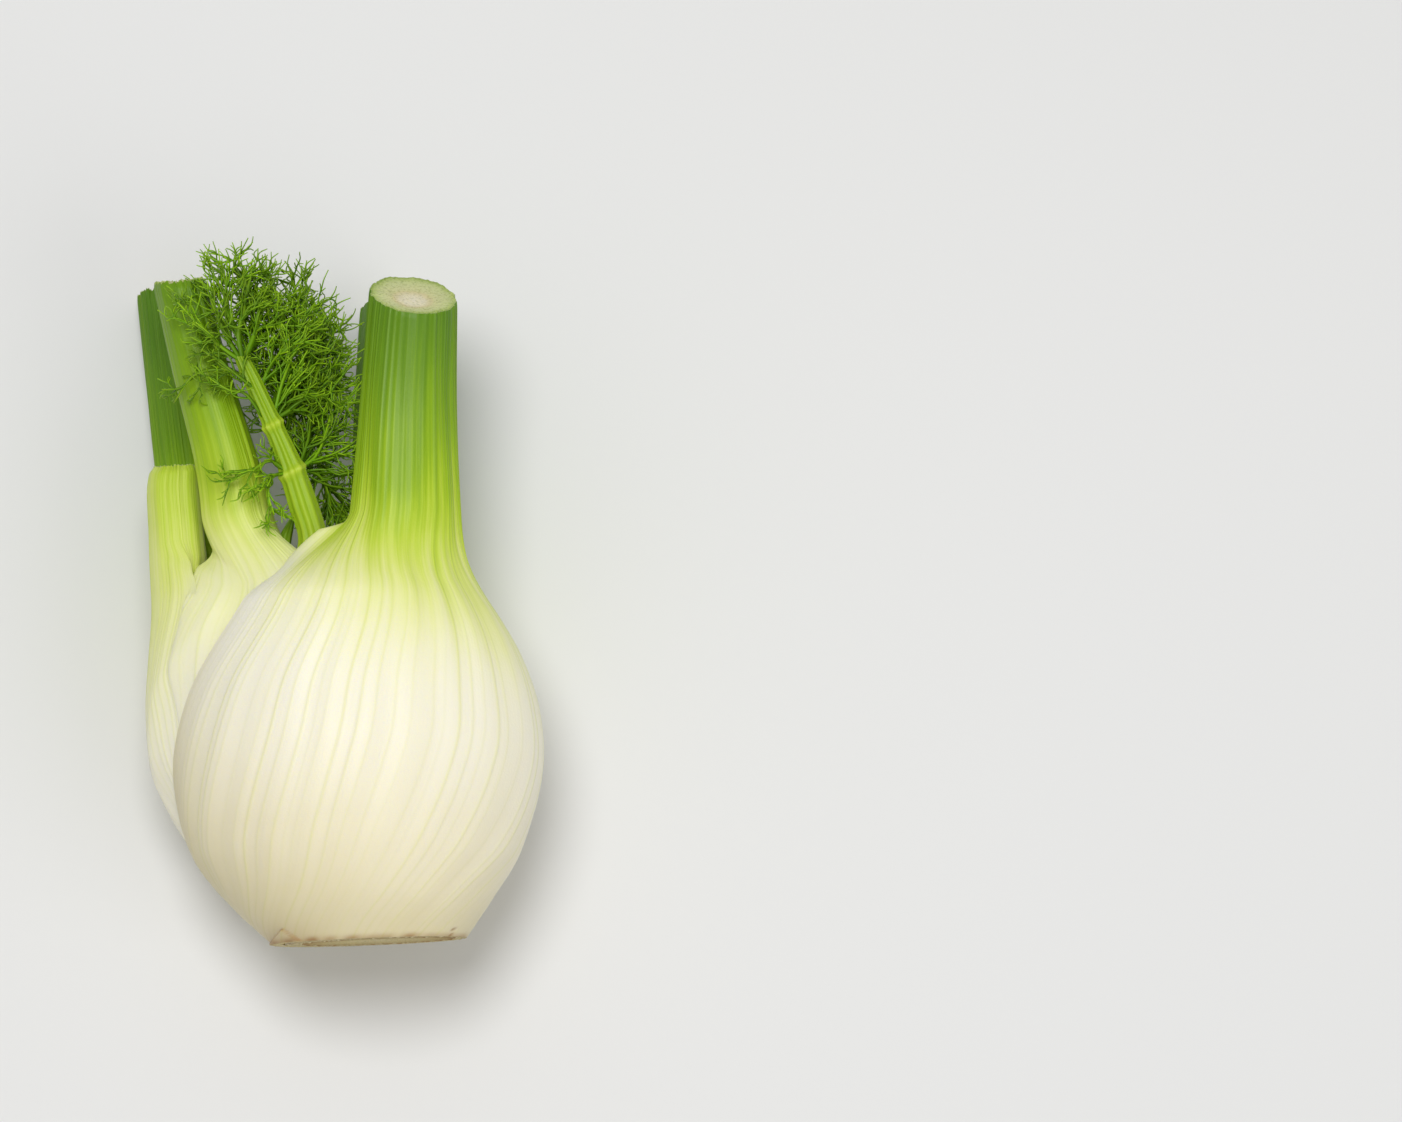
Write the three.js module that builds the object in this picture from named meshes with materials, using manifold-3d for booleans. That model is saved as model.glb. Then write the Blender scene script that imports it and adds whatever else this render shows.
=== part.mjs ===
// A trimmed fennel bulb lying on its back: overlapping leaf bases round a root plate,
// five cut stalks, one young leaf with its feathery frond, and two small shoots.
// Millimetres. +X is the bulb's right, +Y runs from the cut base to the stalks, +Z is up.

import * as THREE from "three";
import { mergeVertices } from "three/addons/utils/BufferGeometryUtils.js";
import Module from "manifold-3d";

const wasm = await Module();
wasm.setup();

// Room left between leaf bases that press on each other, and the clearance that every
// piece is cut back to where it would still touch another
const LAYER_GAP = 0.85;
const CLEARANCE = 0.3;

// The base's cut slants by this much for each millimetre up and to the right, and the
// slant fades out this far up the bulb
const BASE_CUT_SLOPE = -Math.tan(THREE.MathUtils.degToRad(9));
const BASE_CUT_ACROSS = 0.042;
const BASE_CUT_FADE = 24;

// Fineness of the lofts: points across a leaf base, and steps along it
const ACROSS = 15;
const STEPS_ALONG = 18;

// How thick a leaf base is at its margin, and how fast it thickens away from it
const MARGIN_WALL = 0.7;
const MARGIN_SHARE = 0.34;

// A covered leaf base swells back out to its own form beyond the margin that covers it,
// by this much for each radian and radian squared past the margin, times its radius
const SWELL = [0.6, 1.7];

// A leaf base fans out into its stalk's sides more than into the middle of its face: the
// share round the stalk follows a sine of the share across the base, mixed with the share
const FAN_SINE = 0.35;
const FAN_EVEN = 0.3;

// How far a stalk's slanted cut tells down the stalk, in half widths of the stalk
const CUT_FADE = 3;

// Outlines of the bulb across its axis. Each row: y, left, right, top, bottom.
// The first is the bulb under the front and back leaves, the second the fuller left side.
const BULB = [
  [0, -24.5, 23.5, 19, -18],
  [10, -35.2, 29.8, 27.5, -26.5],
  [22, -45, 36.3, 33.5, -33.6],
  [42, -49.8, 42, 37.5, -37.6],
  [58, -48.4, 41.4, 37.5, -37.4],
  [72, -44.4, 36.8, 35.8, -34.5],
  [86, -38.4, 29, 32.5, -30],
  [98, -36, 24, 29.5, -26],
  [112, -36, 22, 27, -24],
];
const LEFT_SIDE = [
  [0, -24.5, 22, 18.5, -18],
  [10, -35.2, 28, 25.5, -26.5],
  [22, -45, 34, 29.5, -33.6],
  [42, -54.4, 36, 30.5, -37.6],
  [58, -56.4, 34, 28.5, -37.4],
  [72, -56, 30, 26.5, -34.5],
  [86, -55.5, 26, 24, -31],
  [98, -56, 22, 21.5, -28],
  [112, -57, 20, 20, -26],
];
const HEART = [
  [3, -17, 15, 13, -12],
  [14, -24, 19, 17, -17],
  [42, -35, 27, 23, -24],
  [72, -34, 20, 20, -20],
  [92, -26, 8, 14, -8],
  [104, -20, -5, 10, 2],
];

// The line that the leaf bases are wrapped round. Each row: y, x, z.
const AXIS = [
  [0, -0.5, 0.5],
  [22, -4.5, 0],
  [58, -7, -1],
  [98, -9, -1],
  [112, -10, -1],
];

// Leaf bases, the outermost first. For each: the outline it follows, the height of its
// foot, its margins in degrees round the axis (0 is up, positive to the right), the
// thickness of its wall, the stretch where it draws together into a stalk, and the stalk
// itself, whose rows are y, x, z, half width, half depth. The direction that the leaf's
// outer side faces is in degrees too. The cut slopes tilt the stalk's end.
const FRONT_LEAF = {
  outline: BULB,
  foot: 0,
  margins: [[0, -172, 100], [10, -122, 108], [22, -106, 124], [42, -85, 126], [60, -71, 120],
    [78, -50, 110], [88, -44, 104], [96, -54, 98], [103, -74, 96]],
  wall: [[0, 3.2], [22, 6], [60, 7.5], [100, 6.5]],
  neck: [81, 106],
  stalk: [[80, 7.5, 12, 16, 13], [108, 8.1, 15.5, 13.6, 12.2], [133, 8.6, 20, 11.9, 11.2],
    [159, 9.8, 25.5, 10.8, 10.6]],
  facing: 4,
  cut: { across: -0.14, down: -0.72 },
};
const BACK_LEAF = {
  outline: BULB,
  foot: 0,
  margins: [[0, 70, 214], [22, 92, 240], [42, 94, 240], [60, 88, 236], [86, 80, 222],
    [104, 100, 215]],
  wall: [[0, 3], [22, 5.5], [60, 6.5], [100, 6]],
  neck: [80, 112],
  stalk: [[78, 3, -16, 14, 10], [112, 2.6, -16.4, 9.6, 9.2], [140, 2.4, -22.8, 8.8, 8.6],
    [171, 3, -29.9, 8.2, 8]],
  facing: 176,
  cut: { across: 0.08, down: 0.1 },
};
const STUB_LEAF = {
  outline: LEFT_SIDE,
  foot: 0.01,
  margins: [[0, -152, -74], [22, -142, -72], [42, -126, -73], [60, -114, -72], [86, -106, -64],
    [108, -112, -58]],
  wall: [[0, 2.2], [22, 4], [60, 5], [108, 6]],
  neck: [82, 104],
  stalk: [[82, -47.5, -1, 8.5, 9.5], [104, -49.8, -1.6, 7.1, 7.8], [116, -50.7, -1.9, 6.9, 7.4],
    [122, -50.3, -1.9, 6.1, 6.6]],
  facing: -84,
  cut: { across: 0.06, down: -0.22 },
};
const BACK_LEFT_LEAF = {
  outline: LEFT_SIDE,
  foot: 0.02,
  margins: [[0, -186, -120], [22, -184, -112], [60, -176, -96], [86, -168, -92], [106, -158, -96]],
  wall: [[0, 2.2], [22, 4], [60, 5.4], [106, 6]],
  neck: [80, 112],
  stalk: [[78, -42, -20, 10, 8.5], [112, -46.6, -22.4, 8.2, 7.8], [140, -50.6, -26.6, 7.4, 7.2],
    [174, -55.4, -31.4, 6.6, 6.5]],
  facing: -132,
  cut: { across: -0.06, down: 0.12 },
};
const LEFT_LEAF = {
  outline: LEFT_SIDE,
  foot: 0.03,
  margins: [[0, -118, -8], [22, -112, -6], [60, -100, 0], [86, -94, 10], [96, -92, 14],
    [104, -90, 18]],
  wall: [[0, 2.5], [22, 4.5], [60, 6], [104, 6]],
  neck: [84, 107],
  stalk: [[82, -31, 3.5, 13, 9.5], [103, -33.6, 5.4, 9.5, 9.2], [119, -36.6, 6.8, 8.2, 8.4],
    [143, -43.4, 8.4, 7.2, 7.6], [167, -49.4, 9.8, 6.4, 7]],
  facing: -42,
  cut: { across: 0.04, down: -0.34 },
};
const WRAPPED = [FRONT_LEAF, BACK_LEAF, STUB_LEAF, BACK_LEFT_LEAF, LEFT_LEAF];

// The youngest leaf fills the bulb's heart and goes on as the frond's stem.
// Rows of the stem: y, x, z, half width, half depth. Nodes swell where sprays leave it.
const STEM_NECK = [84, 100];
const STEM = [
  [84, -14, 4, 8, 7],
  [100, -15, 8.6, 3.9, 3.7],
  [108, -17.4, 10.6, 3.4, 3.2],
  [117, -20.6, 12.6, 3.1, 3],
  [122.5, -23, 13.6, 3, 2.8],
  [128.5, -26.4, 14.6, 2.6, 2.5],
  [134, -28.6, 15.6, 2.2, 2.1],
  [140, -30.6, 16.6, 1.9, 1.8],
  [145, -33.2, 17.4, 1.5, 1.4],
];
const NODE_HEIGHTS = [117, 128.5];
const NODE_SWELL = 0.5;
const NODE_LENGTH = 2.4;
const NODE_LEAD = 9;
const HEART_STEP = 6.5;
const HEART_SIDES = 20;

// Feathery sprays: where each springs from, its middle and its tip, how many side
// branches it has on each side, and how far the longest of them reaches.
const SPRAYS = {
  spray_tip_left: { path: [[-35, 146, 18], [-44, 154.5, 20], [-51, 162, 21]], pairs: 3, reach: 9 },
  spray_tip_right: { path: [[-33, 147, 17], [-32.6, 160, 17], [-33, 175, 14]], pairs: 4, reach: 13 },
  spray_upper_left: { path: [[-32, 133, 17.4], [-38, 136, 21], [-45, 139, 20.6]], pairs: 3, reach: 8 },
  spray_upper_right: { path: [[-26, 137, 14], [-20, 150, 12], [-15.6, 165, 8]], pairs: 4, reach: 12 },
  spray_lower_left: { path: [[-24.6, 116, 14.6], [-31, 114, 19.4], [-40, 110, 18.6]], pairs: 3, reach: 8 },
  spray_lower_right: { path: [[-16.4, 118, 11.4], [-12.4, 128, 7.4], [-10, 142, 3]], pairs: 4, reach: 9 },
  spray_behind: { path: [[-25, 131, 10.4], [-24, 145, 2], [-23, 162, -4]], pairs: 4, reach: 13 },
};
const SPRAY_RADIUS = 0.9;
const TWIG_RADIUS = 0.55;
const TWIG_TIP_SHARE = 0.45;
const TWIG_LEAN = THREE.MathUtils.degToRad(44);
const TWIG_SHORTEN = 0.62;
const TWIG_SKEW = 0.12;
const TWIG_CURL = 0.25;
const FIRST_TWIG = 0.8;
const TWIG_MARGIN = 0.6;

// Two small shoots in the fork between the leaf bases: base, middle and tip
const SHOOTS = {
  shoot_left: { path: [[-22.4, 92, 0], [-22.8, 100, 3], [-20.6, 107, 5.4]], radius: 2.2 },
  shoot_right: { path: [[-9.4, 96, 0], [-8.2, 104, 0.6], [-9.2, 112, -1]], radius: 2.4 },
};
const SHOOT_TIP = 0.5;

// The root plate: the solid disc that every leaf base grows from
const PLATE_TOP = 13;
const PLATE_SHARE = 0.97;
const PLATE_DOME = 0.45;
const PLATE_SIDES = 36;
const PLATE_RINGS = [0.0023, 0.35, 0.7, 0.92, 1];

const MATERIALS = {
  pale_base: new THREE.MeshStandardMaterial({ color: 0xf0ebcf, roughness: 0.38, metalness: 0 }),
  green_stalk: new THREE.MeshStandardMaterial({ color: 0xc3d484, roughness: 0.42, metalness: 0 }),
  frond: new THREE.MeshStandardMaterial({ color: 0x4c7d12, roughness: 0.6, metalness: 0 }),
  root_plate: new THREE.MeshStandardMaterial({ color: 0xcbbf96, roughness: 0.7, metalness: 0 }),
};

const DEGREE = Math.PI / 180;

// A smooth curve through the rows: the values in a row after its first, at height y
function through(rows, y) {
  const last = rows.length - 1;
  const clamped = Math.min(Math.max(y, rows[0][0]), rows[last][0]);
  let i = 0;
  while (i < last - 1 && clamped > rows[i + 1][0]) i += 1;
  const before = rows[Math.max(i - 1, 0)];
  const [from, to] = [rows[i], rows[i + 1]];
  const after = rows[Math.min(i + 2, last)];
  const span = to[0] - from[0];
  const t = (clamped - from[0]) / span;
  return from.slice(1).map((value, k) => {
    const end = to[k + 1];
    const slopeIn = ((end - before[k + 1]) / (to[0] - before[0])) * span;
    const slopeOut = ((after[k + 1] - value) / (after[0] - from[0])) * span;
    const bend = slopeIn * (t * t * t - 2 * t * t + t) + slopeOut * (t * t * t - t * t);
    return value * (2 * t * t * t - 3 * t * t + 1) + end * (3 * t * t - 2 * t * t * t) + bend;
  });
}

function smoothstep(low, high, value) {
  return THREE.MathUtils.smoothstep(value, low, high);
}

// How far an outline lies from the axis point, in a direction given as an angle
function outlineReach(outline, y, angle) {
  const [left, right, top, bottom] = through(outline, y);
  const [axisX, axisZ] = through(AXIS, y);
  const halfWidth = (right - left) / 2;
  const halfDepth = (top - bottom) / 2;
  const fromX = (axisX - (left + right) / 2) / halfWidth;
  const fromZ = (axisZ - (top + bottom) / 2) / halfDepth;
  const alongX = Math.sin(angle) / halfWidth;
  const alongZ = Math.cos(angle) / halfDepth;
  const a = alongX * alongX + alongZ * alongZ;
  const b = fromX * alongX + fromZ * alongZ;
  const c = fromX * fromX + fromZ * fromZ - 1;
  return (-b + Math.sqrt(Math.max(b * b - a * c, 0))) / a;
}

function marginsAt(leaf, y) {
  return through(leaf.margins, y).map((degrees) => degrees * DEGREE);
}

// Wall thickness across a leaf base: thin at both margins. The share runs from 0 to 1.
function wallAt(leaf, y, share) {
  const fromMargin = Math.min(share, 1 - share);
  const fullness = smoothstep(0, MARGIN_SHARE, fromMargin);
  return MARGIN_WALL + (through(leaf.wall, y)[0] - MARGIN_WALL) * fullness;
}

// The farthest out that anything under the leaf may lie, in the given direction
function roomUnder(leaf, y, angle) {
  const [start, end] = marginsAt(leaf, y);
  const middle = (start + end) / 2;
  const half = (end - start) / 2;
  const turn = Math.atan2(Math.sin(angle - middle), Math.cos(angle - middle));
  const held = THREE.MathUtils.clamp(turn, -half, half);
  const share = (held + half) / (2 * half);
  const outer = outerReach(leaf, y, middle + held);
  const past = Math.abs(turn - held);
  const beyond = outer * past * (SWELL[0] + SWELL[1] * past);
  return outer - wallAt(leaf, y, share) - LAYER_GAP + beyond;
}

// The leaf's outer surface: its own outline, held in by every leaf that covers it
function outerReach(leaf, y, angle) {
  let reach = outlineReach(leaf.outline, y, angle);
  for (const cover of WRAPPED) {
    if (cover === leaf) break;
    reach = Math.min(reach, roomUnder(cover, y, angle));
  }
  return reach;
}

function wrappedPoint(y, angle, reach) {
  const [axisX, axisZ] = through(AXIS, y);
  return [axisX + reach * Math.sin(angle), axisZ + reach * Math.cos(angle)];
}

// One ring of points round the sheath, outer side first, as [x, z] pairs
function sheathRing(leaf, y, grow) {
  const [start, end] = marginsAt(leaf, y);
  const ring = [];
  for (let side = 0; side < 2; side += 1) {
    for (let i = 0; i < ACROSS; i += 1) {
      const share = side === 0 ? i / (ACROSS - 1) : 1 - i / (ACROSS - 1);
      const angle = start + (end - start) * share;
      const outer = outerReach(leaf, y, angle);
      const spread = (share - 0.5) * 2 * (grow / outer);
      const reach = side === 0 ? outer + grow : outer - wallAt(leaf, y, share) - grow;
      ring.push(wrappedPoint(y, angle + spread, reach));
    }
  }
  return ring;
}

// One ring of points round the stalk, in the same order
function stalkRing(leaf, y, grow) {
  const [x, z, halfWidth, halfDepth] = through(leaf.stalk, y);
  const facing = leaf.facing * DEGREE;
  return Array.from({ length: 2 * ACROSS }, (_, i) => {
    const side = Math.floor(i / ACROSS);
    const fromMiddle = ((i % ACROSS) + 0.5) / ACROSS - 0.5;
    const share = 0.5 + FAN_SINE * Math.sin(Math.PI * fromMiddle) + FAN_EVEN * fromMiddle;
    const angle = facing - Math.PI / 2 + (side + share) * Math.PI;
    return [x + (halfWidth + grow) * Math.sin(angle), z + (halfDepth + grow) * Math.cos(angle)];
  });
}

function blendRings(from, to, weight) {
  return from.map(([x, z], i) => [x + (to[i][0] - x) * weight, z + (to[i][1] - z) * weight]);
}

// The slanted cut of the base, as a shift along Y that fades out up the bulb
function baseCutShift(y, x, z) {
  return (BASE_CUT_SLOPE * z + BASE_CUT_ACROSS * x) * Math.max(0, 1 - y / BASE_CUT_FADE);
}

// A closed solid through rings of [x, z] pairs, one ring at each height
function loft(rings, heights, shift) {
  const count = rings[0].length;
  const positions = [];
  rings.forEach((ring, row) => {
    for (const [x, z] of ring) positions.push(x, heights[row] + shift(heights[row], x, z), z);
  });
  const index = [];
  for (let row = 0; row + 1 < rings.length; row += 1) {
    for (let i = 0; i < count; i += 1) {
      const next = (i + 1) % count;
      const a = row * count + i;
      const b = row * count + next;
      index.push(a, b, a + count, b, b + count, a + count);
    }
  }
  for (const row of [0, rings.length - 1]) {
    const outline = rings[row].map(([x, z]) => new THREE.Vector2(x, z));
    for (const [a, b, c] of THREE.ShapeUtils.triangulateShape(outline, [])) {
      const corners = row === 0 ? [a, b, c] : [a, c, b];
      index.push(...corners.map((corner) => row * count + corner));
    }
  }
  const geometry = new THREE.BufferGeometry();
  geometry.setAttribute("position", new THREE.Float32BufferAttribute(positions, 3));
  geometry.setIndex(index);
  return geometry;
}

function toSolid(geometry) {
  const bare = geometry.clone();
  bare.deleteAttribute("normal");
  bare.deleteAttribute("uv");
  const merged = mergeVertices(bare, 1e-4);
  return new wasm.Manifold(
    new wasm.Mesh({
      numProp: 3,
      vertProperties: new Float32Array(merged.attributes.position.array),
      triVerts: new Uint32Array(merged.index.array),
    }),
  );
}

function toGeometry(solid) {
  const mesh = solid.getMesh();
  const geometry = new THREE.BufferGeometry();
  geometry.setAttribute("position", new THREE.Float32BufferAttribute(mesh.vertProperties, 3));
  geometry.setIndex(Array.from(mesh.triVerts));
  geometry.computeVertexNormals();
  return geometry;
}

// What is left after a cut can have crumbs beside it: the biggest body is kept
function biggestBody(solid) {
  const bodies = solid.decompose();
  return bodies.reduce((best, body) => (body.volume() > best.volume() ? body : best));
}

// The whole leaf, from its foot on the root plate to the cut end of its stalk
function leafSolid(leaf, grow = 0) {
  const top = leaf.stalk[leaf.stalk.length - 1][0];
  const heights = [];
  const rings = [];
  for (let i = 0; i <= STEPS_ALONG; i += 1) {
    const y = leaf.foot + ((top - leaf.foot) * i) / STEPS_ALONG;
    const weight = smoothstep(leaf.neck[0], leaf.neck[1], y);
    heights.push(y);
    rings.push(blendRings(sheathRing(leaf, y, grow), stalkRing(leaf, y, grow), weight));
  }
  const [endX, endZ, halfWidth] = through(leaf.stalk, top);
  const cutShift = (y, x, z) => {
    const nearEnd = Math.max(0, 1 - (top - y) / (CUT_FADE * halfWidth));
    return nearEnd * (leaf.cut.across * (x - endX) + leaf.cut.down * (z - endZ));
  };
  return toSolid(loft(rings, heights, (y, x, z) => baseCutShift(y, x, z) + cutShift(y, x, z)));
}

// The heart of the bulb and the frond's stem, grown as one young leaf
function innerLeafSolid() {
  const foot = PLATE_TOP + CLEARANCE;
  const top = STEM[STEM.length - 1][0];
  const heights = [];
  for (let y = foot; y < STEM_NECK[1]; y += HEART_STEP) heights.push(y);
  for (const node of NODE_HEIGHTS) {
    heights.push(node - NODE_LEAD, node - NODE_LENGTH, node, node + NODE_LENGTH);
  }
  heights.push(top);
  heights.sort((a, b) => a - b);
  const rings = heights.map((y) => {
    const heart = [];
    const stem = [];
    const [x, z, halfWidth, halfDepth] = through(STEM, y);
    const nearest = Math.min(...NODE_HEIGHTS.map((node) => Math.abs(y - node)));
    const swell = NODE_SWELL * Math.max(0, 1 - nearest / NODE_LENGTH);
    for (let i = 0; i < HEART_SIDES; i += 1) {
      const angle = (i / HEART_SIDES) * 2 * Math.PI;
      let reach = outlineReach(HEART, y, angle);
      for (const cover of WRAPPED) reach = Math.min(reach, roomUnder(cover, y, angle));
      heart.push(wrappedPoint(y, angle, reach));
      stem.push([
        x + (halfWidth + swell) * Math.sin(angle),
        z + (halfDepth + swell) * Math.cos(angle),
      ]);
    }
    return blendRings(heart, stem, smoothstep(STEM_NECK[0], STEM_NECK[1], y));
  });
  return toSolid(loft(rings, heights, baseCutShift));
}

// The root plate fills what the leaf bases leave open at the cut, and domes inwards
function rootPlateSolid() {
  const heights = PLATE_RINGS.map((share) => share * PLATE_TOP);
  const rings = heights.map((y) => {
    const dome = 1 - PLATE_DOME * (y / PLATE_TOP) ** 3;
    return Array.from({ length: PLATE_SIDES }, (_, i) => {
      const angle = (i / PLATE_SIDES) * 2 * Math.PI;
      const room = Math.min(...WRAPPED.map((cover) => roomUnder(cover, y, angle)));
      return wrappedPoint(y, angle, room * PLATE_SHARE * dome);
    });
  });
  return toSolid(loft(rings, heights, baseCutShift));
}

// A tapered stem with a square section along a smooth path
function stemSolid(points, startRadius, endRadius, steps, sides = 4) {
  const curve = new THREE.CatmullRomCurve3(points);
  const frames = curve.computeFrenetFrames(steps, false);
  const positions = [];
  const index = [];
  for (let i = 0; i <= steps; i += 1) {
    const centre = curve.getPoint(i / steps);
    const radius = THREE.MathUtils.lerp(startRadius, endRadius, i / steps);
    for (let k = 0; k < sides; k += 1) {
      const angle = (k / sides) * 2 * Math.PI;
      const corner = centre
        .clone()
        .addScaledVector(frames.normals[i], radius * Math.cos(angle))
        .addScaledVector(frames.binormals[i], radius * Math.sin(angle));
      positions.push(corner.x, corner.y, corner.z);
    }
  }
  for (let i = 0; i < steps; i += 1) {
    for (let k = 0; k < sides; k += 1) {
      const a = i * sides + k;
      const b = i * sides + ((k + 1) % sides);
      index.push(a, b, a + sides, b, b + sides, a + sides);
    }
  }
  const last = steps * sides;
  for (let k = 1; k + 1 < sides; k += 1) {
    index.push(0, k + 1, k, last, last + k, last + k + 1);
  }
  const geometry = new THREE.BufferGeometry();
  geometry.setAttribute("position", new THREE.Float32BufferAttribute(positions, 3));
  geometry.setIndex(index);
  return toSolid(geometry);
}

// One spray: a midrib with side branches in pairs that shorten towards its tip
function spraySolid({ path, pairs, reach }, grow = 0) {
  const points = path.map((point) => new THREE.Vector3(...point));
  const curve = new THREE.CatmullRomCurve3(points);
  const up = new THREE.Vector3(0, 0, 1);
  let spray = stemSolid(points, SPRAY_RADIUS + grow, TWIG_RADIUS + grow, 5);
  for (let i = 0; i < pairs; i += 1) {
    const at = (i + FIRST_TWIG) / (pairs + TWIG_MARGIN);
    const start = curve.getPoint(at);
    const forward = curve.getTangent(at);
    const sideways = new THREE.Vector3().crossVectors(forward, up).normalize();
    const length = reach * (1 - TWIG_SHORTEN * at);
    for (const side of [-1, 1]) {
      const lean = TWIG_LEAN + side * TWIG_SKEW;
      const direction = forward
        .clone()
        .multiplyScalar(Math.cos(lean))
        .addScaledVector(sideways, side * Math.sin(lean));
      const middle = start.clone().addScaledVector(direction, length / 2);
      const tip = start.clone().addScaledVector(direction, length);
      tip.addScaledVector(forward, length * TWIG_CURL);
      const twig = [start, middle, tip];
      spray = spray.add(
        stemSolid(twig, TWIG_RADIUS + grow, TWIG_RADIUS * TWIG_TIP_SHARE + grow, 2),
      );
    }
  }
  return spray;
}

// Everything is kept clear of what is listed before it, grown by the clearance
const part = new THREE.Group();
const placed = new Map();

function place(name, material, solidOf) {
  let solid = solidOf(0);
  for (const grown of placed.values()) solid = solid.subtract(grown);
  placed.set(name, solidOf(CLEARANCE));
  const mesh = new THREE.Mesh(toGeometry(biggestBody(solid)), material);
  mesh.name = name;
  part.add(mesh);
}

const { pale_base: pale, green_stalk: green, frond, root_plate: plate } = MATERIALS;
place("front_leaf", pale, (grow) => leafSolid(FRONT_LEAF, grow));
place("back_leaf", pale, (grow) => leafSolid(BACK_LEAF, grow));
place("stub_leaf", pale, (grow) => leafSolid(STUB_LEAF, grow));
place("back_left_leaf", pale, (grow) => leafSolid(BACK_LEFT_LEAF, grow));
place("left_leaf", pale, (grow) => leafSolid(LEFT_LEAF, grow));
place("root_plate", plate, () => rootPlateSolid());
place("inner_leaf", green, () => innerLeafSolid());
for (const [name, { path, radius }] of Object.entries(SHOOTS)) {
  const points = path.map((point) => new THREE.Vector3(...point));
  place(name, green, (grow) => stemSolid(points, radius + grow, SHOOT_TIP + grow, 6, 8));
}
for (const [name, spray] of Object.entries(SPRAYS)) {
  place(name, frond, (grow) => spraySolid(spray, grow));
}

// The part's origin is the middle of its footprint, on the surface that it lies on
const box = new THREE.Box3().setFromObject(part);
const centre = box.getCenter(new THREE.Vector3());
part.position.set(-centre.x, -centre.y, -box.min.z);

export default part;
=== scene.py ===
"""A trimmed fennel bulb lying on its back, dressed for the render.

The leaf bases, the stalks, the root plate and the feathery frond are modelled here as fine
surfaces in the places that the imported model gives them. Sizes are in millimetres in the bulb's
own frame (x right, y from the cut base to the stalks, z up, zero on the bulb's axis at the cut)
and become metres in the shared frame when a mesh is made.
"""

import logging
import math
from dataclasses import dataclass, field
from enum import Enum

import bpy
import numpy as np
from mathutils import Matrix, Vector


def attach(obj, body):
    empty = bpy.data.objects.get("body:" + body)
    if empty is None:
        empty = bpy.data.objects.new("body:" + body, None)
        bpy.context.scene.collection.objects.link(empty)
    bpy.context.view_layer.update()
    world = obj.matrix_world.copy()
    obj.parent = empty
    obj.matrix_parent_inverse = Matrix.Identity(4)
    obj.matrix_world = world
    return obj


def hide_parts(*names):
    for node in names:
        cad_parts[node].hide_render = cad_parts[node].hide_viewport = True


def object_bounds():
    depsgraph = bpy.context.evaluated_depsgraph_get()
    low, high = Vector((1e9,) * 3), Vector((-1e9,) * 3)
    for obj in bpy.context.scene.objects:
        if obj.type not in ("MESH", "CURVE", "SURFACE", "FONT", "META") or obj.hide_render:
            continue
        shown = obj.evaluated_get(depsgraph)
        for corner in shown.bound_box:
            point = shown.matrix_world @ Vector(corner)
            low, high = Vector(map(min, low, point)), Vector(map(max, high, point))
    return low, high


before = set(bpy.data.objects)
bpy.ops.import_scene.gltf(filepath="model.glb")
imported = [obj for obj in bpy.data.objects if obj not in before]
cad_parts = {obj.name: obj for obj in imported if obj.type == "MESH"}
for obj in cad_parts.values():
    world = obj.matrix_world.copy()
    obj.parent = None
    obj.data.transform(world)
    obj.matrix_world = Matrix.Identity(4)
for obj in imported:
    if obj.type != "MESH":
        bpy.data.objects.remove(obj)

LOG = logging.getLogger("fennel")
MM = 0.001
CAD_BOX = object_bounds()

Rows = list[list[float]]
Array = np.ndarray
Path = tuple[tuple[float, float, float], ...]
Colour = tuple[float, float, float, float]
Piece = bpy.types.Object
Material = bpy.types.Material
Group = bpy.types.NodeTree
Socket = bpy.types.NodeSocket


class Slot(Enum):
    """The record's material slots."""

    LEAF_BASE = "leaf_base"
    ROOT_PLATE = "root_plate"
    FROND_STEM = "frond_stem"
    FROND = "frond"


def through(rows: Rows, heights: Array) -> Array:
    """Runs a smooth curve through rows of values.

    Args:
        rows: Rows that start with a height and go on with the values there.
        heights: Heights to read the curve at, of any shape.

    Returns:
        The values, with one more dimension than the heights.
    """
    table = np.array(rows, float)
    last = len(table) - 1
    y = np.clip(np.asarray(heights, float), table[0, 0], table[-1, 0])
    i = np.clip(np.searchsorted(table[:, 0], y, side="right") - 1, 0, last - 1)
    before, start = table[np.maximum(i - 1, 0)], table[i]
    end, after = table[i + 1], table[np.minimum(i + 2, last)]
    span = end[..., :1] - start[..., :1]
    t = (y[..., None] - start[..., :1]) / span
    slope_in = (end - before)[..., 1:] / (end - before)[..., :1] * span
    slope_out = (after - start)[..., 1:] / (after - start)[..., :1] * span
    bend = slope_in * (t**3 - 2 * t**2 + t) + slope_out * (t**3 - t**2)
    return start[..., 1:] * (2 * t**3 - 3 * t**2 + 1) + end[..., 1:] * (3 * t**2 - 2 * t**3) + bend


def curve(knots: Path, steps: int) -> Array:
    """Runs a smooth curve through its knots, as evenly timed points."""
    rows = np.column_stack([np.linspace(0, 1, len(knots)), knots])
    return through(rows.tolist(), np.linspace(0, 1, steps))


def smoothstep(low: float, high: float, value: Array) -> Array:
    """Rises from 0 to 1 between two values, with level ends."""
    t = np.clip((value - low) / (high - low), 0, 1)
    return t * t * (3 - 2 * t)


def soft_min(a: Array, b: Array, blend: float) -> Array:
    """Takes the smaller of two surfaces and rounds the crease between them."""
    h = np.clip(0.5 + 0.5 * (b - a) / blend, 0, 1)
    return b + (a - b) * h - blend * h * (1 - h)


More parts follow.
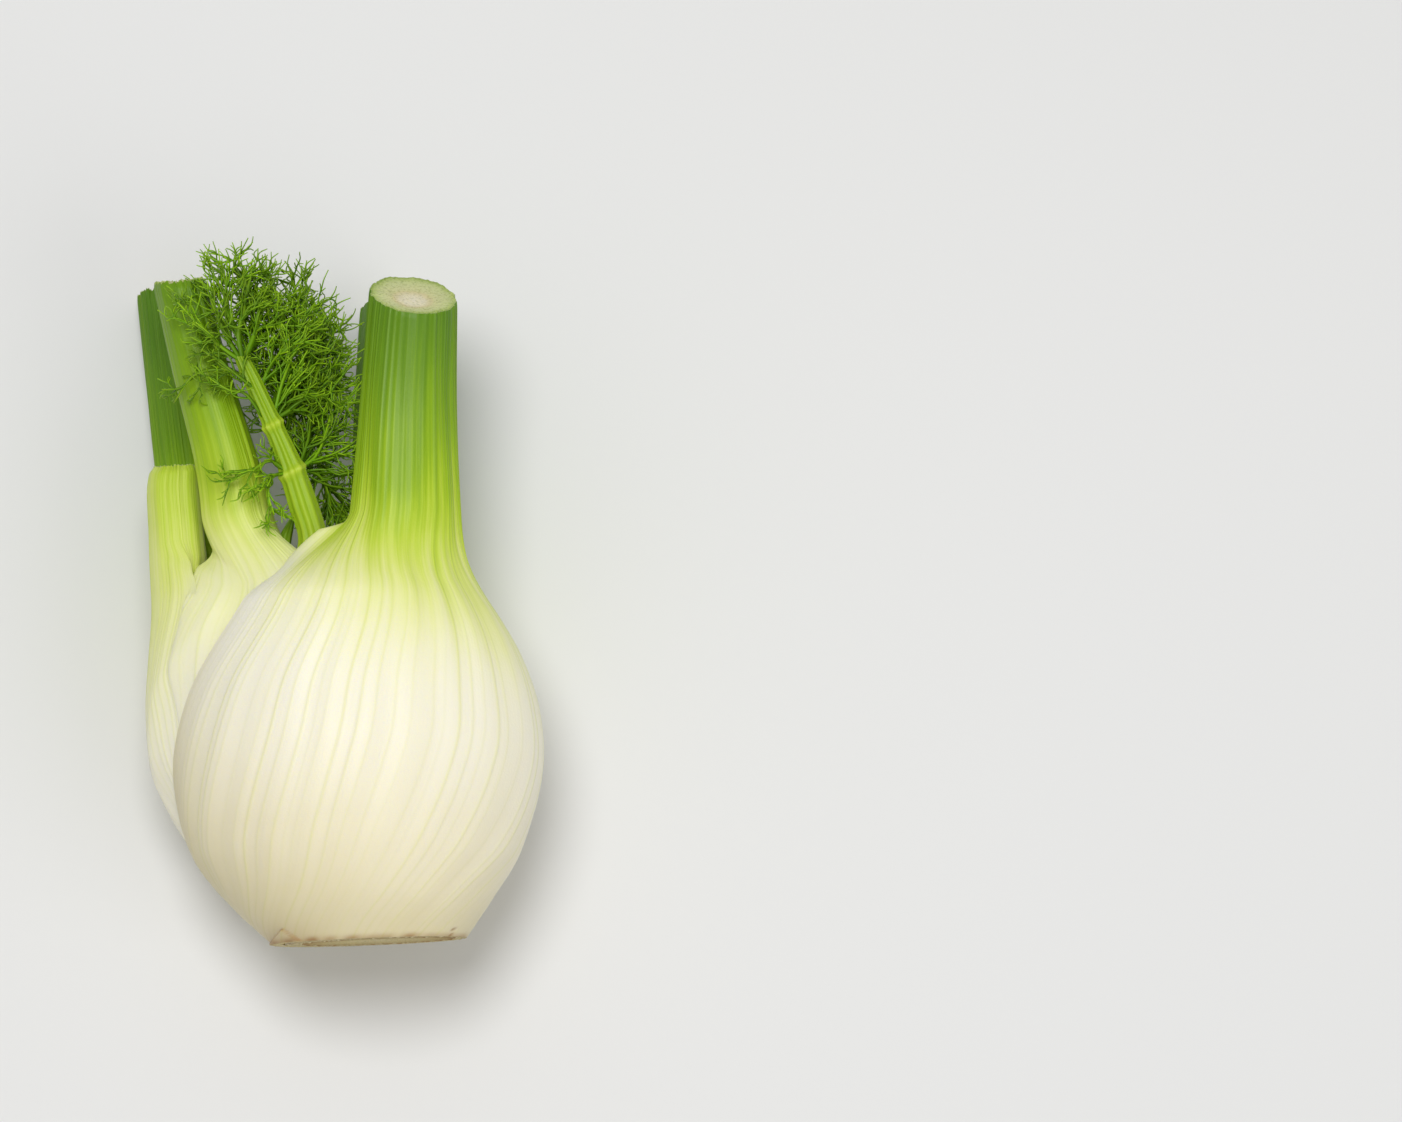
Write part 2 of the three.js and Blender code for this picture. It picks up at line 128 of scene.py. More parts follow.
def ripple(seed: int, across: Array, along: Array, waves: int = 7) -> Array:
    """Gives smooth irregular waves, about -1 to 1.

    Args:
        seed: Picks the waves.
        across: First coordinate, where 1 is about one wave.
        along: Second coordinate, of the same shape or one that broadcasts.
        waves: How many waves are added.

    Returns:
        The height of the waves.
    """
    rng = np.random.default_rng(seed)
    total = 0.0
    for _ in range(waves):
        a, b = rng.uniform(0.4, 1.7) * rng.choice([-1, 1]), rng.uniform(0.4, 1.7)
        total = total + np.sin(2 * np.pi * (a * across + b * along) + rng.uniform(0, 2 * np.pi))
    return total / math.sqrt(waves)


def srgb(red: int, green: int, blue: int) -> Colour:
    """Turns a display colour, 0 to 255, into the linear colour that a shader reads."""
    shares = (red / 255, green / 255, blue / 255)
    linear = [((c + 0.055) / 1.055) ** 2.4 if c > 0.04 else c / 12.92 for c in shares]
    return (*linear, 1.0)


def grid_points(x: Array, y: Array, z: Array) -> Array:
    """Joins the coordinates of a grid into points."""
    return np.stack(np.broadcast_arrays(x, y, z), axis=-1)


def unit(vectors: Array) -> Array:
    """Scales vectors to a length of 1."""
    return vectors / np.linalg.norm(vectors, axis=-1, keepdims=True)


def round_tube(columns: int) -> tuple[Array, Array]:
    """Gives the place round a tube of each column, 0 to 1, and its angle as one row."""
    around = np.arange(columns) / columns
    return around, around[None, :] * 2 * np.pi


# The bulb's form

BULB: Rows = [
    [0, -24.5, 23.5, 19, -18],
    [10, -35.2, 29.8, 27.5, -26.5],
    [22, -45, 36.3, 33.5, -33.6],
    [42, -49.8, 42, 37.5, -37.6],
    [58, -48.4, 41.4, 37.5, -37.4],
    [72, -44.4, 36.8, 35.8, -34.5],
    [86, -38.4, 29, 32.5, -30],
    [98, -36, 24, 29.5, -26],
    [112, -36, 22, 27, -24],
]
LEFT_SIDE: Rows = [
    [0, -24.5, 22, 18.5, -18],
    [10, -35.2, 28, 25.5, -26.5],
    [22, -45, 34, 29.5, -33.6],
    [42, -54.4, 36, 30.5, -37.6],
    [58, -56.4, 34, 28.5, -37.4],
    [72, -56, 30, 26.5, -34.5],
    [86, -55.5, 26, 24, -31],
    [98, -56, 22, 21.5, -28],
    [112, -57, 20, 20, -26],
]
HEART: Rows = [
    [3, -17, 15, 13, -12],
    [14, -24, 19, 17, -17],
    [42, -35, 27, 23, -24],
    [72, -34, 20, 20, -20],
    [92, -26, 8, 14, -8],
    [104, -20, -5, 10, 2],
]
AXIS: Rows = [[0, -0.5, 0.5], [22, -4.5, 0], [58, -7, -1], [98, -9, -1], [112, -10, -1]]
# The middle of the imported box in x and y, and how far the belly reaches below the axis
BULB_MIDDLE = (-10.108, 86.504)
BELLY_DEPTH = 37.922
# Above this height the margins move alone, and the veins between them stay
CALM_TOP = 87.0
LAYER_GAP = 0.1
# The share of a leaf's width over which its wall thins out at each margin
MARGIN_SHARE = 0.34
# How fast the leaves below stand free again past a margin: at it, and further on
FREE_RISE = (0.6, 1.7)
BASE_CUT_SLOPE = -math.tan(math.radians(9))
BASE_CUT_ACROSS = 0.042
BASE_CUT_FADE = 24.0
# How far one leaf base rises into another where they look grown together, and from where
FUSED_RISE = 1.6
FUSED_FROM = (16, 40)

# A leaf base fans out of its stalk's sides more than out of the middle of its face
STALK_SHARES = np.linspace(0, 1, 401)
BASE_SHARES = 0.5 + 0.5 * (STALK_SHARES - 0.5) + 2 * (STALK_SHARES - 0.5) ** 3


def base_cut_shift(x: Array, y: Array, z: Array) -> Array:
    """Slants the cut of the base, as a shift along y that fades out up the bulb."""
    return (BASE_CUT_SLOPE * z + BASE_CUT_ACROSS * x) * np.maximum(0, 1 - y / BASE_CUT_FADE)


def placed(points: Array) -> Array:
    """Moves points to the shared frame.

    Args:
        points: Points in the bulb's own frame, in millimetres.

    Returns:
        The same points in the shared frame, in metres.
    """
    low, high = CAD_BOX
    middle = ((low + high) / 2).to_2d()
    shift = (-BULB_MIDDLE[0], -BULB_MIDDLE[1], BELLY_DEPTH)
    return (points + shift) * MM + (middle.x, middle.y, low.z)


def outline_reach(outline: Rows, y: Array, angle: Array) -> Array:
    """Measures how far an outline lies from the axis.

    Args:
        outline: Rows of height and the outline's left, right, top and bottom.
        y: Heights.
        angle: Directions round the axis, in radians from straight up.

    Returns:
        The distance, which broadcasts y and angle.
    """
    left, right, top, bottom = np.moveaxis(through(outline, y), -1, 0)
    axis_x, axis_z = np.moveaxis(through(AXIS, y), -1, 0)
    half_width, half_depth = (right - left) / 2, (top - bottom) / 2
    from_x = (axis_x - (left + right) / 2) / half_width
    from_z = (axis_z - (top + bottom) / 2) / half_depth
    along_x, along_z = np.sin(angle) / half_width, np.cos(angle) / half_depth
    a = along_x**2 + along_z**2
    b = from_x * along_x + from_z * along_z
    c = from_x**2 + from_z**2 - 1
    return (-b + np.sqrt(np.maximum(b * b - a * c, 0))) / a


def wrapped(y: Array, angle: Array, reach: Array) -> tuple[Array, Array]:
    """Places points at an angle and a distance from the axis, as x and z."""
    axis_x, axis_z = np.moveaxis(through(AXIS, y), -1, 0)
    return axis_x + reach * np.sin(angle), axis_z + reach * np.cos(angle)


# Mesh columns beside a vein, in half widths of it, and close to both margins
VEIN_OFFSETS = np.array([-2.6, -1.3, -0.6, 0, 0.6, 1.3, 2.6])
EDGE_SHARES = (0, 0.004, 0.012, 0.988, 0.996, 1)


@dataclass
class Veins:
    """The ribs of a stalk, which fan out over its leaf base as veins.

    Attributes:
        seed: Picks where the veins run and how strong each is.
        count: How many veins cross one side of the leaf.
        thin: Half width of a vein on the leaf base, as a share of the leaf's width.
        wide: Half width of the same vein as a rib of the stalk, as the same share.
    """

    seed: int
    count: int = 38
    thin: float = 0.0031
    wide: float = 0.0068
    centres: Array = field(init=False)
    strengths: Array = field(init=False)
    bands: Array = field(init=False)

    def __post_init__(self) -> None:
        """Settles where each vein runs."""
        rng = np.random.default_rng(self.seed)
        steps = rng.uniform(0.55, 1.45, self.count + 1)
        self.centres = np.cumsum(steps)[:-1] / steps.sum()
        self.strengths = rng.uniform(0.25, 1.0, self.count)
        self.bands = rng.uniform(0, 1, self.count)

    def columns(self) -> Array:
        """Lists the shares to put mesh columns at, close together on each vein."""
        lines = (self.centres[:, None] + VEIN_OFFSETS * self.thin).ravel()
        between = (self.centres[1:] + self.centres[:-1]) / 2
        return np.unique(np.clip(np.concatenate([EDGE_SHARES, lines, between]), 0, 1))

    def band(self, share: Array) -> Array:
        """Gives how dark the flesh between the veins is, 0 to 1."""
        return np.interp(share, self.centres, self.bands)

    def profile(self, share: Array, draw: Array, widen: float = 1.0) -> Array:
        """Gives the height of the veins, 0 to 1.

        Args:
            share: Place across the leaf, 0 to 1.
            draw: How far the leaf has drawn together into its stalk, 0 to 1.
            widen: Widens every vein.

        Returns:
            The height, which broadcasts share and draw.
        """
        half = (self.thin + (self.wide - self.thin) * draw) * widen
        total = 0.0
        for centre, strength in zip(self.centres, self.strengths):
            total = total + strength * np.exp(-(((share - centre) / half) ** 2))
        return np.minimum(total, 1.0)


@dataclass
class Cut:
    """The slope of a stalk's cut end, per millimetre across it and down through it."""

    across: float
    down: float


@dataclass
class Leaf:
    """One leaf: a base that wraps the bulb, drawn together into a cut stalk.

    Attributes:
        node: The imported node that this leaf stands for.
        outline: The outline of the bulb that its base follows.
        margins: Rows of height and the angle of both margins, in degrees round the axis.
        wall: Rows of height and wall thickness.
        neck: The stretch where the base becomes the stalk.
        stalk: Rows of height, x, z, half width and half depth.
        facing: The direction that the leaf's outer side faces, in degrees round the axis.
        cut: The slope of the stalk's end.
        tones: Rows of height and the height on the bulb whose colour the leaf has there.
        seed: Picks the leaf's own irregularities.
        rim: Thickness of the wall at both margins.
        blend: Width of the rounding where this leaf holds in the ones below it.
        lean: Above 1, crowds the veins of the base towards its first margin.
        web: How much higher each margin lets go of the base, in millimetres.
        swell: How far the middle stands out of the outline, and the second margin sinks in it.
        fused: Whether a leaf below can rise into this one, so that they look grown together.
        joins: Whether this leaf rises into a fused one above it.
        tilt: How much greener the first margin is than the middle, in millimetres.
        veins: How many veins cross its outer side.
        covers: The leaves that lie over this one.
    """

    node: str
    outline: Rows
    margins: Rows
    wall: Rows
    neck: tuple[float, float]
    stalk: Rows
    facing: float
    cut: Cut
    tones: Rows
    seed: int
    rim: float = 0.55
    blend: float = 1.6
    lean: float = 1.0
    web: tuple[float, float] = (0, 0)
    swell: float = 0.0
    fused: bool = False
    joins: bool = False
    tilt: float = 0.0
    veins: int = 38
    covers: list["Leaf"] = field(default_factory=list)

    def margins_at(self, y: Array) -> tuple[Array, Array]:
        """Gives both margins, in radians round the axis."""
        start, end = np.moveaxis(np.radians(through(self.margins, y)), -1, 0)
        return start, end

    def wall_at(self, y: Array, share: Array) -> Array:
        """Gives the wall's thickness, which is thin at both margins."""
        fullness = smoothstep(0, MARGIN_SHARE, np.minimum(share, 1 - share))
        return self.rim + (through(self.wall, y)[..., 0] - self.rim) * fullness

    def room_under(self, y: Array, angle: Array) -> Array:
        """Gives how far out anything under this leaf may lie.

        Args:
            y: Heights.
            angle: Directions round the axis, in radians.

        Returns:
            The distance from the axis, which rises again past both margins.
        """
        start, end = self.margins_at(y)
        middle, half = (start + end) / 2, (end - start) / 2
        turn = np.arctan2(np.sin(angle - middle), np.cos(angle - middle))
        held = np.clip(turn, -half, half)
        share = (held + half) / (2 * half)
        outer = self.outer_reach(y, middle + held)
        past = np.abs(turn - held)
        beyond = outer * past * (FREE_RISE[0] + FREE_RISE[1] * past)
        return outer - self.wall_at(y, share) - LAYER_GAP + beyond

    def outer_reach(self, y: Array, angle: Array) -> Array:
        """Gives the outer surface: the leaf's own outline, held in by what covers it.

        Args:
            y: Heights.
            angle: Directions round the axis, in radians.

        Returns:
            The distance from the axis.
        """
        reach = outline_reach(self.outline, y, angle)
        for cover in self.covers:
            rise = FUSED_RISE * smoothstep(*FUSED_FROM, y) * (cover.fused and self.joins)
            reach = soft_min(reach, cover.room_under(y, angle) + rise, cover.blend)
        return reach


FRONT_LEAF = Leaf(
    node="front_leaf",
    outline=BULB,
    margins=[[0, -172, 100], [10, -122, 108], [22, -106, 124], [42, -85, 126], [60, -71, 120],
             [78, -50, 110], [88, -44, 104], [96, -54, 98], [103, -74, 96]],
    wall=[[0, 3.2], [22, 6], [60, 7.5], [100, 6.5]],
    neck=(81, 106),
    stalk=[[80, 7.5, 12, 16, 13], [108, 8.1, 15.5, 13.6, 12.2], [133, 8.6, 20, 11.9, 11.2],
           [159, 9.8, 25.5, 10.8, 10.6]],
    facing=4,
    cut=Cut(-0.14, -0.72),
    tones=[[0, 0], [56, 56], [78, 80], [100, 102], [170, 168]],
    seed=11,
    tilt=-11,
)
BACK_LEAF = Leaf(
    node="back_leaf",
    outline=BULB,
    margins=[[0, 70, 214], [22, 92, 240], [42, 94, 240], [60, 88, 236], [86, 80, 222], [104, 100, 215]],
    wall=[[0, 3], [22, 5.5], [60, 6.5], [100, 6]],
    neck=(80, 112),
    stalk=[[78, 3, -16, 14, 10], [112, 2.6, -16.4, 9.6, 9.2], [140, 2.4, -22.8, 8.8, 8.6],
           [171, 3, -29.9, 8.2, 8]],
    facing=176,
    cut=Cut(0.08, 0.1),
    # These tones run above the height, which darkens this back stalk's green as painted shade
    tones=[[0, 0], [60, 60], [90, 96], [180, 186]],
    seed=23,
    covers=[FRONT_LEAF],
)
STUB_LEAF = Leaf(
    node="stub_leaf",
    outline=LEFT_SIDE,
    margins=[[0, -152, -74], [22, -142, -72], [42, -126, -73], [60, -114, -72], [86, -106, -64],
             [108, -112, -58]],
    wall=[[0, 2.2], [22, 4], [60, 5], [108, 6]],
    neck=(70, 99),
    stalk=[[70, -48.2, -0.6, 8.2, 10.4], [90, -48.8, -1.2, 7.5, 9], [104, -49.8, -1.6, 7.1, 7.8],
           [116, -50.7, -1.9, 6.9, 7.4], [122, -50.4, -1.9, 6.5, 7]],
    facing=-84,
    cut=Cut(0.06, -0.22),
    # These tones run above the height, which makes the stub greener: partly its own colour, partly painted
    # shade
    tones=[[0, 10], [30, 44], [60, 76], [90, 92], [122, 103]],
    seed=31,
    rim=0.12,
    blend=0.4,
    web=(0, 10),
    swell=0.5,
    fused=True,
    tilt=7,
    veins=20,
    covers=[FRONT_LEAF, BACK_LEAF],
)
BACK_LEFT_LEAF = Leaf(
    node="back_left_leaf",
    outline=LEFT_SIDE,
    margins=[[0, -186, -120], [22, -184, -112], [60, -176, -96], [86, -168, -92], [106, -158, -96]],
    wall=[[0, 2.2], [22, 4], [60, 5.4], [106, 6]],
    neck=(68, 114),
    stalk=[[78, -42, -20, 10, 8.5], [112, -46.6, -22.4, 8.2, 7.8], [140, -50.6, -26.6, 7.4, 7.2],
           [174, -55.4, -31.4, 6.6, 6.5]],
    facing=-132,
    cut=Cut(-0.06, 0.12),
    # These tones run above the height, which darkens this back stalk's green as painted shade
    tones=[[0, 0], [60, 60], [90, 98], [180, 184]],
    seed=47,
    covers=[FRONT_LEAF, BACK_LEAF, STUB_LEAF],
)
LEFT_LEAF = Leaf(
    node="left_leaf",
    outline=LEFT_SIDE,
    margins=[[0, -118, -8], [22, -112, -6], [60, -98, 0], [76, -88, 6], [88, -78, 11], [104, -70, 18]],
    wall=[[0, 2.5], [22, 4.5], [60, 6], [104, 6]],
    neck=(78, 107),
    stalk=[[82, -31, 3.5, 13, 9.5], [103, -33.6, 5.4, 9.5, 9.2], [119, -36.6, 6.8, 8.2, 8.4],
           [143, -43.4, 8.4, 7.2, 7.6], [167, -49.4, 9.8, 6.4, 7]],
    facing=-42,
    cut=Cut(0.1, -0.3),
    tones=[[0, 4], [60, 62], [88, 77], [100, 88], [110, 102], [124, 116], [170, 146]],
    seed=59,
    lean=1.35,
    web=(6, 0),
    joins=True,
    tilt=4,
    veins=24,
    covers=[FRONT_LEAF, BACK_LEAF, STUB_LEAF, BACK_LEFT_LEAF],
)
WRAPPED = [FRONT_LEAF, BACK_LEAF, STUB_LEAF, BACK_LEFT_LEAF, LEFT_LEAF]


@dataclass
class Skin:
    """A grid of points that closes round into a tube, with what its material needs to know.

    Attributes:
        points: Rows of points round the tube, in millimetres.
        around: Place round the tube of each column, 0 to 1.
        tone: How green each point is, as a height on the bulb, in millimetres.
        vein: How much of a vein each point is.
        band: How dark the flesh between two veins is.
        burn: How brown each point is.
        cut: 1 on a cut face.
        core: On a cut face, 1 at its rim and 0 at its middle.
    """

    points: Array
    around: Array
    tone: Array
    vein: Array
    band: Array
    burn: Array
    cut: Array
    core: Array

    @classmethod
    def whole(cls, points: Array, around: Array, tone: Array, vein: Array | float) -> "Skin":
        """Makes a skin with no bands, no brown and no cut face."""
        zero = np.zeros(points.shape[:2])
        return cls(points, around, zero + tone, zero + vein, zero + 0.5, zero, zero, zero)

    def capped(self, end: int, shares: Array, centre: Array, relief: Array) -> "Skin":
        """Closes one end with rows that draw in to a line or a point.

        Args:
            end: 0 for the first row, -1 for the last.
            shares: How far each new row has drawn in, 0 to 1, ending in 1.
            centre: What the columns draw in to: one point for each column.
            relief: How far each new row stands out along y, in millimetres.

        Returns:
            The skin with its new rows.
        """
        edge = self.points[end]
        rows = edge + (centre - edge) * shares[:, None, None]
        rows[..., 1] += relief
        flat = np.ones(rows.shape[:2])
        extra = {
            "points": rows,
            "tone": flat * self.tone[end].mean(),
            "vein": flat * self.vein[end],
            "band": flat * self.band[end],
            "burn": flat * self.burn[end],
            "cut": flat,
            "core": flat * (1 - shares)[:, None],
        }
        joined = {}
        for name, value in extra.items():
            own = getattr(self, name)
            joined[name] = np.concatenate([value[::-1], own] if end == 0 else [own, value])
        return Skin(around=self.around, **joined)

    def drawn_in(self, end: int) -> "Skin":
        """Closes one end to its middle with a few flat rows."""
        ring = self.points[end]
        centre = np.broadcast_to(ring.mean(0), ring.shape)
        return self.capped(end, FOOT_CAP, centre, np.zeros((len(FOOT_CAP), len(ring))))

    def cut_off(self, end: int, shares: Array, seed: int, dish: float) -> "Skin":
        """Closes one end with the rough face of a cut.

        Args:
            end: 0 for the first row, -1 for the last.
            shares: How far each new row has drawn in, 0 to 1, ending in 1.
            seed: Picks the grain.
            dish: Depth of the middle, in millimetres.

        Returns:
            The skin with its new rows.
        """
        ring = self.points[end]
        centre = np.broadcast_to(ring.mean(0), ring.shape)
        relief = end_relief(seed, ring, centre, shares, dish)
        return self.capped(end, shares, centre, -relief if end == 0 else relief)


SKIN_LABELS = ("tone", "vein", "band", "burn", "cut", "core")
# Rows of a cut face, close together at its rim, and rows of a plain end
STALK_CAP = np.concatenate([[0.015, 0.035, 0.06, 0.09], np.linspace(0.13, 1, 19)])
PLATE_CAP = np.concatenate([np.linspace(0.02, 0.98, 22), [1.0]])
FOOT_CAP = np.array([0.05, 0.15, 0.3, 0.5, 0.75, 1.0])
# Millimetres of a leaf's length that one unit of its map covers
MAP_LENGTH = 100
WELD = 1e-6
SHARP_EDGE = math.radians(48)


def mesh_from_skin(name: str, skin: Skin, material: Material) -> Piece:
    """Adds a grid, moves its points onto the skin and closes its seam and ends.

    Args:
        name: The new object's name.
        skin: The points and what the material reads.
        material: The finish.

    Returns:
        The finished object, at the origin.
    """
    rows, columns = skin.points.shape[:2]
    bpy.ops.object.select_all(action="DESELECT")
    bpy.ops.mesh.primitive_grid_add(x_subdivisions=columns, y_subdivisions=rows - 1, size=1)
    piece = bpy.context.object
    piece.name = piece.data.name = name
    mesh = piece.data

    def seamed(values: Array) -> Array:
        """Repeats the first column after the last."""
        return np.concatenate([values, values[:, :1]], axis=1)

    mesh.vertices.foreach_set("co", placed(seamed(skin.points)).ravel())
    for label in SKIN_LABELS:
        attribute = mesh.attributes.new(label, "FLOAT", "POINT")
        attribute.data.foreach_set("value", seamed(getattr(skin, label)).ravel())
    length = np.cumsum(np.linalg.norm(np.diff(skin.points.mean(1), axis=0), axis=-1))
    v = np.concatenate([[0], length]) / MAP_LENGTH
    u = np.append(skin.around, 1.0)
    grid = np.stack(np.broadcast_arrays(u[None, :], v[:, None]), axis=-1).reshape(-1, 2)
    corners = np.zeros(len(mesh.loops), np.int32)
    mesh.loops.foreach_get("vertex_index", corners)
    mesh.uv_layers[0].name = "Leaf"
    mesh.uv_layers[0].data.foreach_set("uv", grid[corners].ravel())
    bpy.ops.object.mode_set(mode="EDIT")
    bpy.ops.mesh.select_all(action="SELECT")
    bpy.ops.mesh.remove_doubles(threshold=WELD)
    bpy.ops.mesh.normals_make_consistent(inside=False)
    bpy.ops.object.mode_set(mode="OBJECT")
    bpy.ops.object.shade_smooth_by_angle(angle=SHARP_EDGE)
    mesh.materials.append(material)
    LOG.info("%s: %d faces", name, len(mesh.polygons))
    return piece


class Grown:
    """A piece whose surface is one skin."""

    node: str

    def skin(self) -> Skin:
        """Works out the surface."""
        raise NotImplementedError

    def build(self, material: Material) -> Piece:
        """Makes the mesh and dresses it."""
        return mesh_from_skin(self.node + "_skin", self.skin(), material)


# A cut face: the height and width of its grains, the height and number of the torn fibres round
# its rim, how far in they reach, and the stretch where the dish deepens
GRAINS = ((0.05, 1.1), (0.035, 0.45))
TORN_FIBRES = ((0.16, 60), (0.1, 110))
TORN_RIM = 0.09
DISH_EDGE = (0.15, 0.8)


def end_relief(seed: int, ring: Array, centre: Array, shares: Array, dish: float) -> Array:
    """Roughens a cut end: torn fibres at the rim, a grain all over and a shallow dish.

    Args:
        seed: Picks the grain.
        ring: The rim's points.
        centre: The middle of the cut.
        shares: How far each row of the cut has drawn in.
        dish: Depth of the middle.

    Returns:
        How far each point stands out along y, in millimetres.
    """
    rows = ring + (centre - ring) * shares[:, None, None]
    x, z = rows[..., 0], rows[..., 2]
    turn = np.linspace(0, 1, ring.shape[0], endpoint=False)[None, :]
    grain, torn = 0.0, 0.0
    for layer, (height, width) in enumerate(GRAINS):
        grain = grain + height * ripple(seed + layer, x / width, z / width, 12)
    for layer, (height, number) in enumerate(TORN_FIBRES):
        torn = torn + height * ripple(seed + len(GRAINS) + layer, turn * number, 0 * turn)
    rim = np.exp(-((shares / TORN_RIM) ** 2))[:, None]
    relief = grain * (1 - rim) + torn * rim - dish * smoothstep(*DISH_EDGE, shares)[:, None]
    relief[-1] = relief[-1].mean()
    return relief


@dataclass(frozen=True)
class Scar:
    """The scale of an older leaf at the foot and the split beside it, in millimetres.

    Attributes:
        left: Where the scale's left edge meets the cut.
        right: Where its right edge meets the cut.
        slopes: How far each edge leans in for each millimetre up the bulb.
        lines: Width of the brown line along each edge.
        height: How far the scale stands out.
        split: Where the split starts and how far up it does.
        split_lean: How far the split leans right for each millimetre up.
        split_width: Half width of the split.
        split_depth: Depth of the split.
        stain: The middle of the brown stain and its reach to the side and up.
    """

    left: float = -24.8
    right: float = -15.8
    slopes: tuple[float, float] = (0.85, 1.5)
    lines: tuple[float, float] = (0.45, 0.6)
    height: float = 0.85
    split: tuple[float, float] = (20.2, 2.6)
    split_lean: float = 0.45
    split_width: float = 0.22
    split_depth: float = 0.5
    stain: tuple[float, float, float] = (-21, 9, 4.5)

    def laid(self, points: Array, burn: Array) -> tuple[Array, Array]:
        """Raises the three-cornered scale and splits the foot beside it.

        Args:
            points: The leaf's points.
            burn: How brown each one is.

        Returns:
            Both, changed at the foot.
        """
        x, y, z = np.moveaxis(points, -1, 0)
        front = smoothstep(-2, 3, z) * smoothstep(12, 6, y)
        # Height up the bulb as the photograph's camera sees it
        above = 0.97 * y + 0.242 * z
        left_edge = (x - self.left) - (above + 0.4) * self.slopes[0]
        right_edge = (self.right - x) - (above + 0.2) * self.slopes[1]
        inside = smoothstep(-0.5, 0.5, left_edge) * smoothstep(-0.5, 0.5, right_edge) * front
        left_line = np.exp(-((left_edge / self.lines[0]) ** 2)) * smoothstep(-0.3, 0.3, right_edge)
        right_line = 0.6 * np.exp(-((right_edge / self.lines[1]) ** 2)) * smoothstep(-0.3, 0.3, left_edge)
        outline = (left_line + right_line) * front
        off_split = x - self.split[0] - self.split_lean * (above - self.split[1])
        split = np.exp(-((off_split / self.split_width) ** 2)) * smoothstep(4.6, 3.4, above) * front
        split = split * (x > 12)
        outward = grid_points(x / 25, y * 0, z / 19)
        outward /= np.maximum(np.linalg.norm(outward, axis=-1, keepdims=True), 1e-6)
        lift = self.height * inside - self.split_depth * split
        off_stain = ((x - self.stain[0]) / self.stain[1]) ** 2
        stain = 0.35 * np.exp(-off_stain - (above / self.stain[2]) ** 2) * front
        return points + outward * lift[..., None], np.clip(burn + 0.8 * outline + split + stain, 0, 1)


